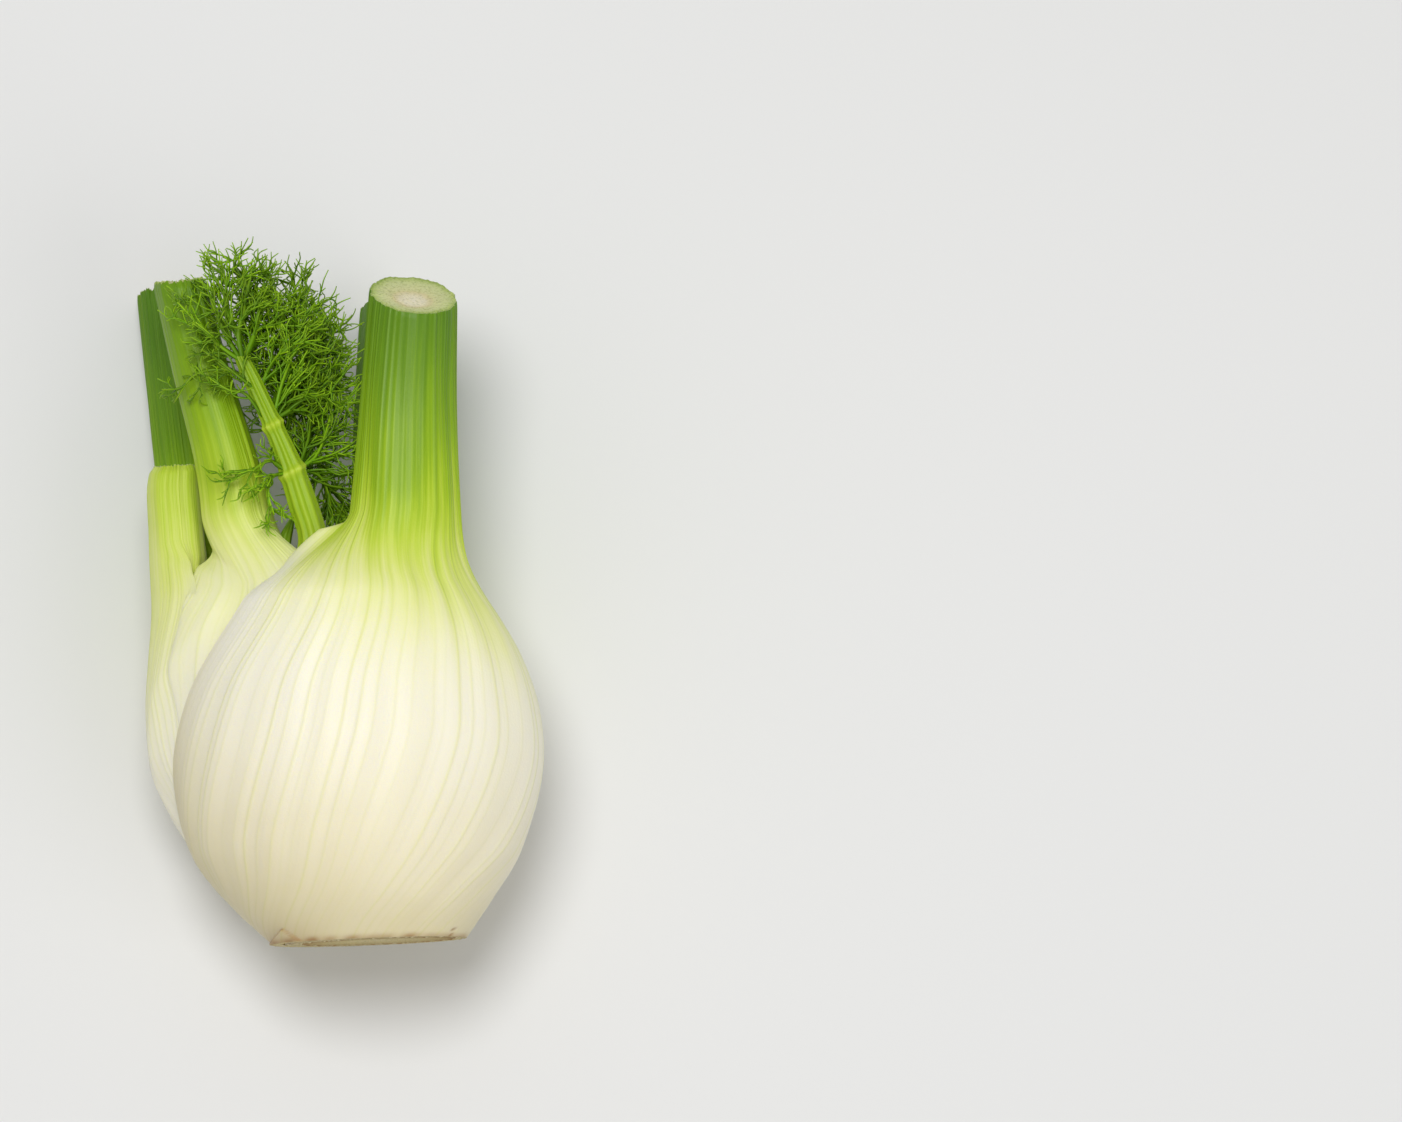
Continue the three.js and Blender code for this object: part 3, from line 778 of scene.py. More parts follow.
@dataclass
class LeafModel(Grown):
    """Models one leaf's fine surface. Lengths are in millimetres.

    Attributes:
        leaf: The leaf's form.
        vein_height: How far the veins stand out on the leaf base.
        rib_height: How far they stand out on the stalk.
        flute: Depth of the broad hollows between groups of veins.
        lobe: How far the margin's lobe stands out beside the stalk.
        scar: The scale and the split left by older leaves, where the foot carries them.
        ragged: How uneven the stalk's end is.
        rounding: How far the stalk's rim is worn round.
        contrast: Strength of the stripes on the stalk.
    """

    leaf: Leaf
    vein_height: float = 0.2
    rib_height: float = 0.24
    flute: float = 0.2
    lobe: float = 0.0
    scar: Scar | None = None
    ragged: float = 0.0
    rounding: float = 0.12
    contrast: float = 1.0

    # Columns on the side that hugs the heart, and its veins
    INNER_COLUMNS = 84
    INNER_VEINS = 30
    # Spacing of the mesh rows at the foot and above it, and the lengths of both ends
    FOOT_STEP = 0.3
    STEP = 0.95
    FOOT = 9
    END = 4
    # How far the veins wander, as a share of the width
    WANDER = 0.004
    # The hollow beside a vein: its width in veins and its depth as a share of the vein's height
    HALO_WIDTH = 2.4
    HALO_DEPTH = 0.5
    # The stalk's bands, as a share of the height of its ribs, and its broad waves
    BAND_HEIGHT = 0.7
    STALK_WAVE = 0.16
    # How far down from the stalk's end it's worn round and torn
    WORN_LENGTH = 2.4
    TORN_LENGTH = 5
    # Where the lobe stands out: it rises, then stops short
    LOBE_RISE = (88, 100)
    LOBE_END = (101, 103.2)
    LOBE_SHARE = 0.13
    # How much paler both margins and the lobe are, as heights on the bulb
    MARGIN_PALER = 9
    LOBE_PALER = 20
    BURN_HEIGHT = 0.8
    # Depth of the dish in the stalk's cut end, and the roughness of the foot
    DISH = 0.6
    FOOT_ROUGHNESS = 0.08

    @property
    def node(self) -> str:
        """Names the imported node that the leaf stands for."""
        return self.leaf.node

    def rows(self) -> Array:
        """Lists the heights of the mesh rows, close together at both ends."""
        top = self.leaf.stalk[-1][0]
        foot = np.arange(0, self.FOOT, self.FOOT_STEP)
        middle = np.arange(self.FOOT, top - self.END, self.STEP)
        return np.concatenate([foot, middle, np.linspace(top - self.END, top, 9)])[:, None]

    def waves(self, number: int, across: Array, along: Array | float) -> Array:
        """Gives the leaf's own irregular waves, a new set for each number."""
        return ripple(self.leaf.seed + number, across, along)

    def sheath(self, y: Array, share: Array, inside: Array, own: Array, relief: Array) -> tuple[Array, Array]:
        """Lays the leaf base round the bulb.

        Args:
            y: Heights of the rows.
            share: Place across the leaf of each column, 0 to 1.
            inside: 1 for the columns of the inner side.
            own: The same place, moved by the veins' wander.
            relief: How far each point stands out.

        Returns:
            The points' x and z.
        """
        leaf = self.leaf
        start, end = leaf.margins_at(y)
        calm_start, calm_end = leaf.margins_at(np.minimum(y, CALM_TOP))
        angle = calm_start + (calm_end - calm_start) * own
        angle = angle + (start - calm_start) * (1 - own) ** 5 + (end - calm_end) * own**5
        reach = leaf.outer_reach(y, angle) - inside * leaf.wall_at(y, share) + relief
        reach = reach + leaf.swell * (1 - 2 * smoothstep(0.7, 1, share)) * smoothstep(*FUSED_FROM, y)
        return wrapped(y, angle, reach)

    def stalk(self, y: Array, share: Array, inside: Array, relief: Array) -> tuple[Array, Array]:
        """Lays the stalk round its own middle.

        Args:
            y: Heights of the rows.
            share: Place across the leaf of each column, 0 to 1.
            inside: 1 for the columns of the inner side.
            relief: How far each point stands out.

        Returns:
            The points' x and z.
        """
        x, z, half_width, half_depth = np.moveaxis(through(self.leaf.stalk, y), -1, 0)
        on_stalk = np.interp(share, BASE_SHARES, STALK_SHARES)
        turn = np.where(inside > 0, 2 - on_stalk, on_stalk)
        girth = math.radians(self.leaf.facing) - np.pi / 2 + turn * np.pi
        return x + (half_width + relief) * np.sin(girth), z + (half_depth + relief) * np.cos(girth)

    def skin(self) -> Skin:
        """Works out the leaf's surface, both sides and both ends."""
        leaf = self.leaf
        coarse = Veins.count / leaf.veins
        outer_veins = Veins(leaf.seed, leaf.veins, Veins.thin * coarse, Veins.wide * coarse)
        inner_veins = Veins(leaf.seed + 1, count=self.INNER_VEINS)
        outer = outer_veins.columns()
        inner = np.linspace(1, 0, self.INNER_COLUMNS)
        share = np.concatenate([outer, inner])[None, :]
        inside = np.concatenate([np.zeros(len(outer)), np.ones(len(inner))])[None, :]
        y = self.rows()
        top = leaf.stalk[-1][0]
        low, high = leaf.neck
        held = leaf.web[0] * smoothstep(0.5, 0, share) + leaf.web[1] * smoothstep(0.35, 1, share)
        draw = smoothstep(0, 1, (y - low - held) / (high - low - 0.75 * held))
        wander = self.WANDER * self.waves(2, share * 3, y / 80) * np.sin(np.pi * share)
        own = np.clip(share + wander, 0, 1) ** leaf.lean

        inner_vein = inner_veins.profile(1 - share, draw) * draw
        vein = np.where(inside > 0, inner_vein, outer_veins.profile(share, draw))
        halo = np.where(inside > 0, 0, outer_veins.profile(share, draw, self.HALO_WIDTH))
        band = np.where(inside > 0, inner_veins.band(1 - share), outer_veins.band(share))
        edge = smoothstep(0, 0.05, np.minimum(share, 1 - share))
        hollow = self.flute * self.waves(3, share * 9, y / 130)
        raised = self.vein_height * (vein - self.HALO_DEPTH * halo)
        sheath_relief = (1 - inside) * edge * (raised + hollow)
        sheath_x, sheath_z = self.sheath(y, share, inside, own, sheath_relief * smoothstep(-6, 26, y))
        stalk_relief = self.rib_height * (vein + self.BAND_HEIGHT * band - 0.75)
        stalk_relief = stalk_relief + self.STALK_WAVE * self.waves(4, share * 4 + inside * 5, y / 90)
        worn = self.rounding * smoothstep(top - self.WORN_LENGTH, top, y) ** 2
        stalk_x, stalk_z = self.stalk(y, share, inside, stalk_relief - worn)

        stand_out = smoothstep(*self.LOBE_RISE, y) * (1 - smoothstep(*self.LOBE_END, y))
        stand_out = self.lobe * stand_out * smoothstep(self.LOBE_SHARE, 0, share)
        px = sheath_x + (stalk_x - sheath_x) * draw - stand_out
        pz = sheath_z + (stalk_z - sheath_z) * draw + 0.3 * stand_out
        end_x, end_z, end_half, _ = leaf.stalk[-1][1:]
        near_end = np.maximum(0, 1 - (top - y) / (3 * end_half))
        py = y + near_end * (leaf.cut.across * (px - end_x) + leaf.cut.down * (pz - end_z))
        torn = self.waves(6, (share + inside) * 9, 0) + 0.5 * self.waves(7, (share + inside) * 31, 0)
        py = py + self.ragged * torn * smoothstep(top - self.TORN_LENGTH, top, y)
        points = grid_points(px, py + base_cut_shift(px, y, pz), pz)
        zero = np.zeros(points.shape[:2])
        patches = 0.6 + 0.25 * self.waves(8, share * 14, 0)
        burn = zero + np.exp(-((y / self.BURN_HEIGHT) ** 2)) * patches
        if self.scar:
            points, burn = self.scar.laid(points, burn)

        around = np.concatenate([outer * 0.5, 1 - inner * 0.5])
        off_middle = np.abs(share - 0.5) * 2
        greener = leaf.tilt * (1 - 2 * share) - self.MARGIN_PALER * off_middle**2
        tone = through(leaf.tones, y)[..., 0] + greener * (1 - draw)
        if self.lobe:
            on_lobe = smoothstep(0.16, 0, share) * (1 - smoothstep(101.5, 104.5, y))
            tone = tone - self.LOBE_PALER * on_lobe
        skin = Skin(points, around, zero + tone, zero + vein, zero + band, burn, zero, zero)
        return self.closed(skin, len(outer))

    def closed(self, skin: Skin, outer: int) -> Skin:
        """Closes the foot to the middle of its wall and the stalk to its middle.

        Args:
            skin: The open skin.
            outer: How many of its columns are on the outer side.

        Returns:
            The closed skin.
        """
        rng = np.random.default_rng(self.leaf.seed + 5)
        foot = skin.points[0]
        base = np.linspace(0, 1, 60)
        outer_share = skin.around[:outer] * 2
        inner_share = np.linspace(1, 0, self.INNER_COLUMNS)
        middle = np.zeros_like(foot)
        for axis in range(3):
            out = np.interp(base, outer_share, foot[:outer, axis])
            back = np.interp(base, inner_share[::-1], foot[outer:, axis][::-1])
            line = (out + back) / 2
            middle[:outer, axis] = np.interp(outer_share, base, line)
            middle[outer:, axis] = np.interp(inner_share, base, line)
        rough = self.FOOT_ROUGHNESS
        relief = rng.uniform(-rough, rough, (len(FOOT_CAP), len(skin.around)))
        relief[-1] = 0
        skin = skin.capped(0, FOOT_CAP, middle, relief)
        return skin.cut_off(-1, STALK_CAP, self.leaf.seed, self.DISH)


LEAF_MODELS = (
    LeafModel(FRONT_LEAF, lobe=4.6, scar=Scar(), ragged=0.12),
    LeafModel(BACK_LEAF, ragged=0.2),
    LeafModel(STUB_LEAF, ragged=0.25, rib_height=0.1, flute=0.12, rounding=0.9, contrast=0.6),
    LeafModel(BACK_LEFT_LEAF, ragged=0.3),
    LeafModel(LEFT_LEAF, ragged=0.3, rib_height=0.12, rounding=0.4, contrast=0.5),
)


# Shader work

@dataclass
class Sheet:
    """Adds and joins nodes in one node tree."""

    tree: Group

    def add(self, kind: str, inputs: dict | None = None, **settings: object) -> bpy.types.Node:
        """Adds a node.

        Args:
            kind: The node's type.
            inputs: Values or output sockets for its inputs, by name or number.
            **settings: The node's own settings.

        Returns:
            The new node.
        """
        node = self.tree.nodes.new(kind)
        for name, value in settings.items():
            setattr(node, name, value)
        for name, value in (inputs or {}).items():
            if isinstance(value, Socket):
                self.tree.links.new(value, node.inputs[name])
            else:
                node.inputs[name].default_value = value
        return node

    def ramp(self, factor: Socket, stops: list[tuple[float, Colour]]) -> Socket:
        """Adds a colour ramp.

        Args:
            factor: The place on the ramp, 0 to 1.
            stops: The places of its stops and their colours.

        Returns:
            The ramp's colour.
        """
        node = self.add("ShaderNodeValToRGB", {0: factor})
        node.color_ramp.interpolation = "B_SPLINE"
        elements = node.color_ramp.elements
        while len(elements) < len(stops):
            elements.new(0.5)
        for element, (place, colour) in zip(elements, stops):
            element.position = place
            element.color = colour
        return node.outputs["Color"]

    def math(self, operation: str, *values: object) -> Socket:
        """Adds a Math node and returns its value."""
        return self.add("ShaderNodeMath", dict(enumerate(values)), operation=operation).outputs[0]

    def mix(self, factor: object, a: object, b: object, blend: str = "MIX") -> Socket:
        """Adds a colour mix and returns its colour."""
        node = self.add("ShaderNodeMix", {0: factor, 6: a, 7: b}, data_type="RGBA", blend_type=blend)
        return node.outputs[2]

    def swing(self, value: Socket, size: float) -> Socket:
        """Centres a value of 0 to 1 on 0 and scales it."""
        return self.math("MULTIPLY", self.math("SUBTRACT", value, 0.5), size)

    def between(self, value: Socket, low: float, high: float) -> Socket:
        """Rises from 0 to 1 while a value goes from low to high."""
        return self.add("ShaderNodeMapRange", {0: value, 1: low, 2: high}).outputs[0]

    def noise(self, place: Socket, scale: object, detail: float, roughness: float = 0.5) -> Socket:
        """Adds a noise texture and returns its value."""
        inputs = {"Vector": place, "Scale": scale, "Detail": detail, "Roughness": roughness}
        return self.add("ShaderNodeTexNoise", inputs).outputs["Fac"]

    def attribute(self, name: str) -> Socket:
        """Reads a number that the mesh carries."""
        return self.add("ShaderNodeAttribute", attribute_name=name).outputs["Fac"]

    def feed(self, label: str, value: Socket) -> None:
        """Joins a value to the material's shader."""
        self.tree.links.new(value, self.tree.nodes["Principled BSDF"].inputs[label])


def new_group(name: str, inputs: dict[str, float], outputs: tuple[str, ...]) -> Sheet:
    """Makes a shader node group whose sockets all carry numbers.

    Args:
        name: The group's name.
        inputs: The starting value of each input.
        outputs: The names of the outputs.

    Returns:
        A sheet on the group's tree.
    """
    tree = bpy.data.node_groups.new(name, "ShaderNodeTree")
    for label, value in inputs.items():
        socket = tree.interface.new_socket(label, in_out="INPUT", socket_type="NodeSocketFloat")
        socket.default_value = value
    for label in outputs:
        tree.interface.new_socket(label, in_out="OUTPUT", socket_type="NodeSocketFloat")
    return Sheet(tree)


def new_material(name: str, settings: dict[str, object]) -> tuple[Material, Sheet]:
    """Makes a material.

    Args:
        name: The material's name.
        settings: Values that its shader has all over, by input.

    Returns:
        The material and a sheet on its tree.
    """
    material = bpy.data.materials.new(name)
    material.use_nodes = True
    shader = material.node_tree.nodes["Principled BSDF"]
    for label, value in settings.items():
        shader.inputs[label].default_value = value
    return material, Sheet(material.node_tree)


def streak_group() -> Group:
    """Fine fibres that run along a leaf, and broader ones between them."""
    sheet = new_group("fibres", {"Count": 120, "Length": 1.5, "Seed": 0}, ("Fine", "Broad"))
    given = sheet.add("NodeGroupInput").outputs
    uv = sheet.add("ShaderNodeUVMap", uv_map="Leaf").outputs[0]
    parts = sheet.add("ShaderNodeSeparateXYZ", {0: uv}).outputs
    values = {}
    for label, share in (("Fine", 1.0), ("Broad", 0.28)):
        across = sheet.math("MULTIPLY", parts["X"], sheet.math("MULTIPLY", given["Count"], share))
        along = sheet.math("MULTIPLY", parts["Y"], given["Length"])
        place = sheet.add("ShaderNodeCombineXYZ", {"X": across, "Y": along, "Z": given["Seed"]}).outputs[0]
        values[label] = sheet.noise(place, 1.0, 3.0, 0.6)
    sheet.add("NodeGroupOutput", values)
    return sheet.tree


def grain_group() -> Group:
    """Blotches and a fine grain in the flesh, in object space."""
    sheet = new_group("flesh grain", {"Blotch": 60, "Grain": 1500}, ("Blotches", "Grains"))
    given = sheet.add("NodeGroupInput").outputs
    place = sheet.add("ShaderNodeTexCoord").outputs["Object"]
    blotches = sheet.noise(place, given["Blotch"], 2.0)
    grains = sheet.noise(place, given["Grain"], 2.0)
    sheet.add("NodeGroupOutput", {"Blotches": blotches, "Grains": grains})
    return sheet.tree


# Heights on the bulb in millimetres and the flesh's colour there
BULB_STOPS = (
    (0, (220, 208, 168)),
    (14, (234, 225, 194)),
    (32, (243, 237, 215)),
    (54, (246, 242, 224)),
    (68, (245, 242, 210)),
    (80, (237, 239, 172)),
    (92, (222, 230, 130)),
    (104, (188, 211, 48)),
    (118, (142, 179, 14)),
    (140, (103, 145, 12)),
    (166, (82, 125, 16)),
)
# The cut faces' colours, from the middle to the rim
STALK_CUT_STOPS = (
    (0.0, (238, 231, 204)),
    (0.3, (234, 226, 192)),
    (0.43, (212, 201, 146)),
    (0.5, (214, 214, 158)),
    (0.8, (204, 212, 150)),
    (0.94, (176, 194, 104)),
    (1.0, (120, 150, 58)),
)
# The cut at the base: brown from the cut, and darkened all over as painted shade
BASE_CUT_BROWN_AND_SHADE_STOPS = (
    (0.0, (206, 192, 146)),
    (0.6, (192, 175, 124)),
    (0.9, (168, 142, 90)),
    (1.0, (132, 92, 46)),
)
# Tints that multiply the flesh's colour, and the colour of a vein on the green stalk
DIM_TINT = (0.95, 0.94, 0.82, 1)
VEIN_TINT = (0.8, 0.82, 0.45, 1)
PORE_TINT = (0.36, 0.4, 0.14, 1)
STALK_VEIN = (0.55, 0.72, 0.16, 1)
BROWN = srgb(150, 104, 48)


def linear_stops(stops: tuple, reach: float = 1.0) -> list[tuple[float, Colour]]:
    """Turns places and display colours into the stops of a ramp that ends at reach."""
    return [(place / reach, srgb(*colour)) for place, colour in stops]


@dataclass(frozen=True)
class LeafFinish:
    """Waxy flesh, cream on the bulb and green on the stalk, with its cut ends.

    Attributes:
        name: The material's name.
        seed: Shifts the fibres.
        vein_lift: How much greener a vein is, in millimetres of height.
        fibre_lift: How much greener the finest fibres are, in the same measure.
        roughness: The skin's roughness.
        contrast: Strength of the stripes on the stalk.
    """

    name: str
    seed: float
    vein_lift: float = 7.0
    fibre_lift: float = 18.0
    roughness: float = 0.44
    contrast: float = 1.0

    # The height, in millimetres, where the flesh's ramp ends
    REACH = 170.0
    # Heights between which the flesh turns from cream to green, and the base's cut into a stalk's
    GREENING = (62.0, 112.0)
    CUT_GREENING = (20.0, 60.0)
    # How far the bands and the blotches swing the colour, as heights on the bulb
    BAND_SWING = 6.0
    BLOTCH_SWING = 9.0
    # The broad fibres' swing as a share of the fine ones', and the number of fine ones
    BROAD_SHARE = 1.2
    FIBRES = 150
    # Strength of the dim bands, the brown and the pores
    DIM = 0.35
    BURN = 0.8
    PORES = 0.5
    # Height of the skin's fine relief, in metres, and its strength
    BUMP = {"Strength": 0.22, "Distance": 0.0004}
    SETTINGS = {
        "Subsurface Weight": 0.22,
        "Subsurface Radius": (0.9, 0.8, 0.35),
        "Subsurface Scale": 0.004,
        "Specular IOR Level": 0.25,
        "Coat Weight": 0.03,
        "Coat Roughness": 0.3,
    }

    def flesh(self, sheet: Sheet, lines: bpy.types.Node, grains: bpy.types.Node) -> Socket:
        """Mixes the skin's colour.

        Args:
            sheet: The material's sheet.
            lines: The fibres.
            grains: The blotches and the grain.

        Returns:
            The colour.
        """
        tone, vein = sheet.attribute("tone"), sheet.attribute("vein")
        band, burn = sheet.attribute("band"), sheet.attribute("burn")
        green = sheet.between(tone, *self.GREENING)
        vein_tone = sheet.math("MULTIPLY_ADD", green, -0.65 * self.vein_lift, self.vein_lift)
        lift = sheet.math("MULTIPLY", vein, vein_tone)
        strength = sheet.math("MULTIPLY_ADD", green, 1.75 * self.contrast - 0.25, 0.25)
        fine = sheet.swing(lines.outputs["Fine"], self.fibre_lift)
        broad = sheet.swing(lines.outputs["Broad"], self.fibre_lift * self.BROAD_SHARE)
        bands = sheet.swing(band, self.BAND_SWING)
        streaks = sheet.math("ADD", sheet.math("ADD", fine, broad), bands)
        streaks = sheet.math("MULTIPLY", streaks, strength)
        blotch = sheet.swing(grains.outputs["Blotches"], self.BLOTCH_SWING)
        height = sheet.math("ADD", sheet.math("ADD", tone, lift), sheet.math("ADD", streaks, blotch))
        place = sheet.math("DIVIDE", height, self.REACH)
        flesh = sheet.ramp(place, linear_stops(BULB_STOPS, self.REACH))
        dimmed = sheet.mix(1.0, flesh, DIM_TINT, "MULTIPLY")
        dim = sheet.mix(sheet.math("MULTIPLY", band, self.DIM), flesh, dimmed)
        darker = sheet.mix(1.0, flesh, VEIN_TINT, "MULTIPLY")
        lighter = sheet.mix(0.22, flesh, STALK_VEIN)
        drawn = sheet.math("MULTIPLY_ADD", green, -0.25, 0.55 * self.contrast)
        veined = sheet.mix(sheet.math("MULTIPLY", vein, drawn), dim, sheet.mix(green, darker, lighter))
        return sheet.mix(sheet.math("MULTIPLY", burn, self.BURN), veined, BROWN)

    def cut_face(self, sheet: Sheet, grains: bpy.types.Node) -> Socket:
        """Mixes the colour of the cut ends: brown darkened by painted shade at the base, cream to green on a
        stalk.

        Args:
            sheet: The material's sheet.
            grains: The blotches and the grain.

        Returns:
            The colour.
        """
        core = sheet.attribute("core")
        pith = sheet.math("SUBTRACT", core, 0.08)
        pith = sheet.math("MULTIPLY_ADD", grains.outputs["Blotches"], 0.16, pith)
        stalk_colour = sheet.ramp(pith, linear_stops(STALK_CUT_STOPS))
        # The base's cut colour is brown with painted shade
        base_brown_and_shade_colour = sheet.ramp(core, linear_stops(BASE_CUT_BROWN_AND_SHADE_STOPS))
        on_stalk = sheet.between(sheet.attribute("tone"), *self.CUT_GREENING)
        ends = sheet.mix(on_stalk, base_brown_and_shade_colour, stalk_colour)
        pores = sheet.math("MULTIPLY", sheet.between(grains.outputs["Grains"], 0.5, 0.72), self.PORES)
        return sheet.mix(pores, ends, PORE_TINT, "MULTIPLY")

    def make(self, fibres: Group, grain: Group) -> Material:
        """Makes the material.

        Args:
            fibres: The group of streaks along the leaf.
            grain: The group of blotches and grain.

        Returns:
            The material.
        """
        material, sheet = new_material(self.name, self.SETTINGS)
        lines = sheet.add("ShaderNodeGroup", node_tree=fibres)
        lines.inputs["Seed"].default_value = self.seed
        lines.inputs["Count"].default_value = self.FIBRES
        grains = sheet.add("ShaderNodeGroup", node_tree=grain)
        cut = sheet.attribute("cut")
        colour = sheet.mix(cut, self.flesh(sheet, lines, grains), self.cut_face(sheet, grains))
        sheet.feed("Base Color", colour)
        gloss = sheet.math("MULTIPLY_ADD", lines.outputs["Fine"], 0.12, self.roughness - 0.06)
        sheet.feed("Roughness", sheet.math("MULTIPLY_ADD", cut, 0.3, gloss))
        ridges = sheet.math("MULTIPLY_ADD", grains.outputs["Grains"], 0.5, lines.outputs["Fine"])
        bump = sheet.add("ShaderNodeBump", {"Height": ridges, **self.BUMP})
        sheet.feed("Normal", bump.outputs[0])
        return material


@dataclass(frozen=True)
class FrondFinish:
    """Fine green filaments, lighter at their tips.

    Attributes:
        name: The material's name.
        base: Display colour where a filament springs.
        tip: Display colour of its tip.
    """

    name: str
    base: tuple[int, int, int]
    tip: tuple[int, int, int]

    SETTINGS = {"Roughness": 0.5, "Specular IOR Level": 0.3, "Subsurface Weight": 0.0}

    def make(self) -> Material:
        """Makes the material."""
        material, sheet = new_material(self.name, self.SETTINGS)
        along, shade = sheet.attribute("along"), sheet.attribute("shade")
        colour = sheet.mix(along, srgb(*self.base), srgb(*self.tip))
        value = sheet.math("MULTIPLY_ADD", shade, 0.5, 0.75)
        lit = sheet.add("ShaderNodeHueSaturation", {"Color": colour, "Value": value})
        sheet.feed("Base Color", lit.outputs[0])
        return material


# The frond

@dataclass(frozen=True)
class Order:
    """One order of a spray's branches.

    Attributes:
        pairs: Pairs of branches on each parent.
        reach: Length of the longest branch, in millimetres.
        radius: Radius of a branch where it springs, in millimetres.
        lean: Angle from the parent, in degrees.
        steps: Points along each branch.
    """

    pairs: int
    reach: float
    radius: float
    lean: float
    steps: int


@dataclass
class Spray:
    """One feathery spray of the frond.

    Attributes:
        node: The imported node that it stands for.
        ribs: The midribs, as points from start to tip in millimetres.
        reach: Length of the longest side branches, in millimetres.
        pairs: Side branches on each side of a midrib.
        seed: Picks how it grew.
        thick: Radius of a midrib where it springs, in millimetres.
        forks: Pairs of twigs on each side branch.
    """

    node: str
    ribs: tuple[Path, ...]
    reach: float
    pairs: int
    seed: int
    thick: float = 0.6
    forks: int = 2

    # How far the branches fall, as a share of their length
    HANG = (0, 0, -0.45)
    # A branch leans along its parent, and curls more at its ends than in its middle
    ALONG = 0.12
    CURL = 1.05
    BEND = 0.6
    TURNS = 1.9
    # How unevenly the branches lean, in degrees, twist round, and take their parent's shade
    LEAN_SPREAD = 13
    TWIST_SPREAD = 0.8
    SHADE_SPREAD = 0.18

    def grow(self) -> list[tuple[Array, Array, Array, Array]]:
        """Grows the midribs and three orders of branches.

        Returns:
            For each order: points of each filament, its radius at both ends, and its shade.
        """
        rng = np.random.default_rng(self.seed)
        parents = np.array([curve(rib, 14) for rib in self.ribs])
        count = len(parents)
        shades = rng.uniform(0, 1, count)
        grown = [(parents, np.full(count, self.thick), np.full(count, 0.3), shades)]
        for order in (
            Order(self.pairs, self.reach * 1.35, 0.36, 30, 14),
            Order(self.forks, self.reach * 1.0, 0.3, 28, 14),
            Order(1, self.reach * 0.75, 0.26, 26, 12),
        ):
            parents, shades = self.branch(rng, parents, shades, order)
            thick = np.full(len(parents), order.radius)
            grown.append((parents, thick, thick * 0.55, shades))
        return grown

    def branch(
        self, rng: np.random.Generator, parents: Array, shades: Array, order: Order
    ) -> tuple[Array, Array]:
        """Grows side branches in pairs from every parent.

        Args:
            rng: Random numbers.
            parents: Points of each parent filament.
            shades: The parents' shades.
            order: The branches' number and form.

        Returns:
            The new filaments' points and shades.
        """
        count, length = parents.shape[:2]
        wide = (count, 2 * order.pairs)
        place = (np.arange(order.pairs) + 0.7) / (order.pairs + 0.35)
        place = np.clip(np.repeat(place, 2)[None, :] + rng.uniform(-0.05, 0.05, wide), 0.05, 0.97)
        exact = place * (length - 1)
        low = np.minimum(exact.astype(int), length - 2)
        rows = np.arange(count)[:, None]
        mix = (exact - low)[..., None]
        start = parents[rows, low] * (1 - mix) + parents[rows, low + 1] * mix
        forward = unit(parents[rows, low + 1] - parents[rows, low])
        sideways = unit(np.cross(forward, rng.normal(size=(count, 1, 3))))
        other = np.cross(forward, sideways)
        sign = np.tile([1, -1], order.pairs)[None, :, None]
        twist = rng.normal(0, self.TWIST_SPREAD, wide)[..., None]
        outward = (np.cos(twist) * sideways + np.sin(twist) * other) * sign + np.array(self.HANG)
        angle = np.radians(order.lean + rng.normal(0, self.LEAN_SPREAD, wide))[..., None]
        direction = forward * np.cos(angle) + outward * np.sin(angle)
        size = order.reach * (1 - 0.5 * place) * rng.uniform(0.55, 1.2, wide)
        curl = rng.normal(0, self.CURL, (*wide, 3))
        bend = rng.normal(0, self.BEND, (*wide, 3))
        points = [start]
        last = order.steps - 1
        for step in range(last):
            turn = curl * math.cos(1.5 * math.pi * step / (last - 1)) + bend
            direction = unit(direction + forward * self.ALONG + turn * (self.TURNS / last))
            points.append(points[-1] + direction * (size / last)[..., None])
        made = np.stack(points, axis=2).reshape(-1, order.steps, 3)
        shade = shades[:, None] + rng.normal(0, self.SHADE_SPREAD, wide)
        return made, np.clip(shade, 0, 1).ravel()


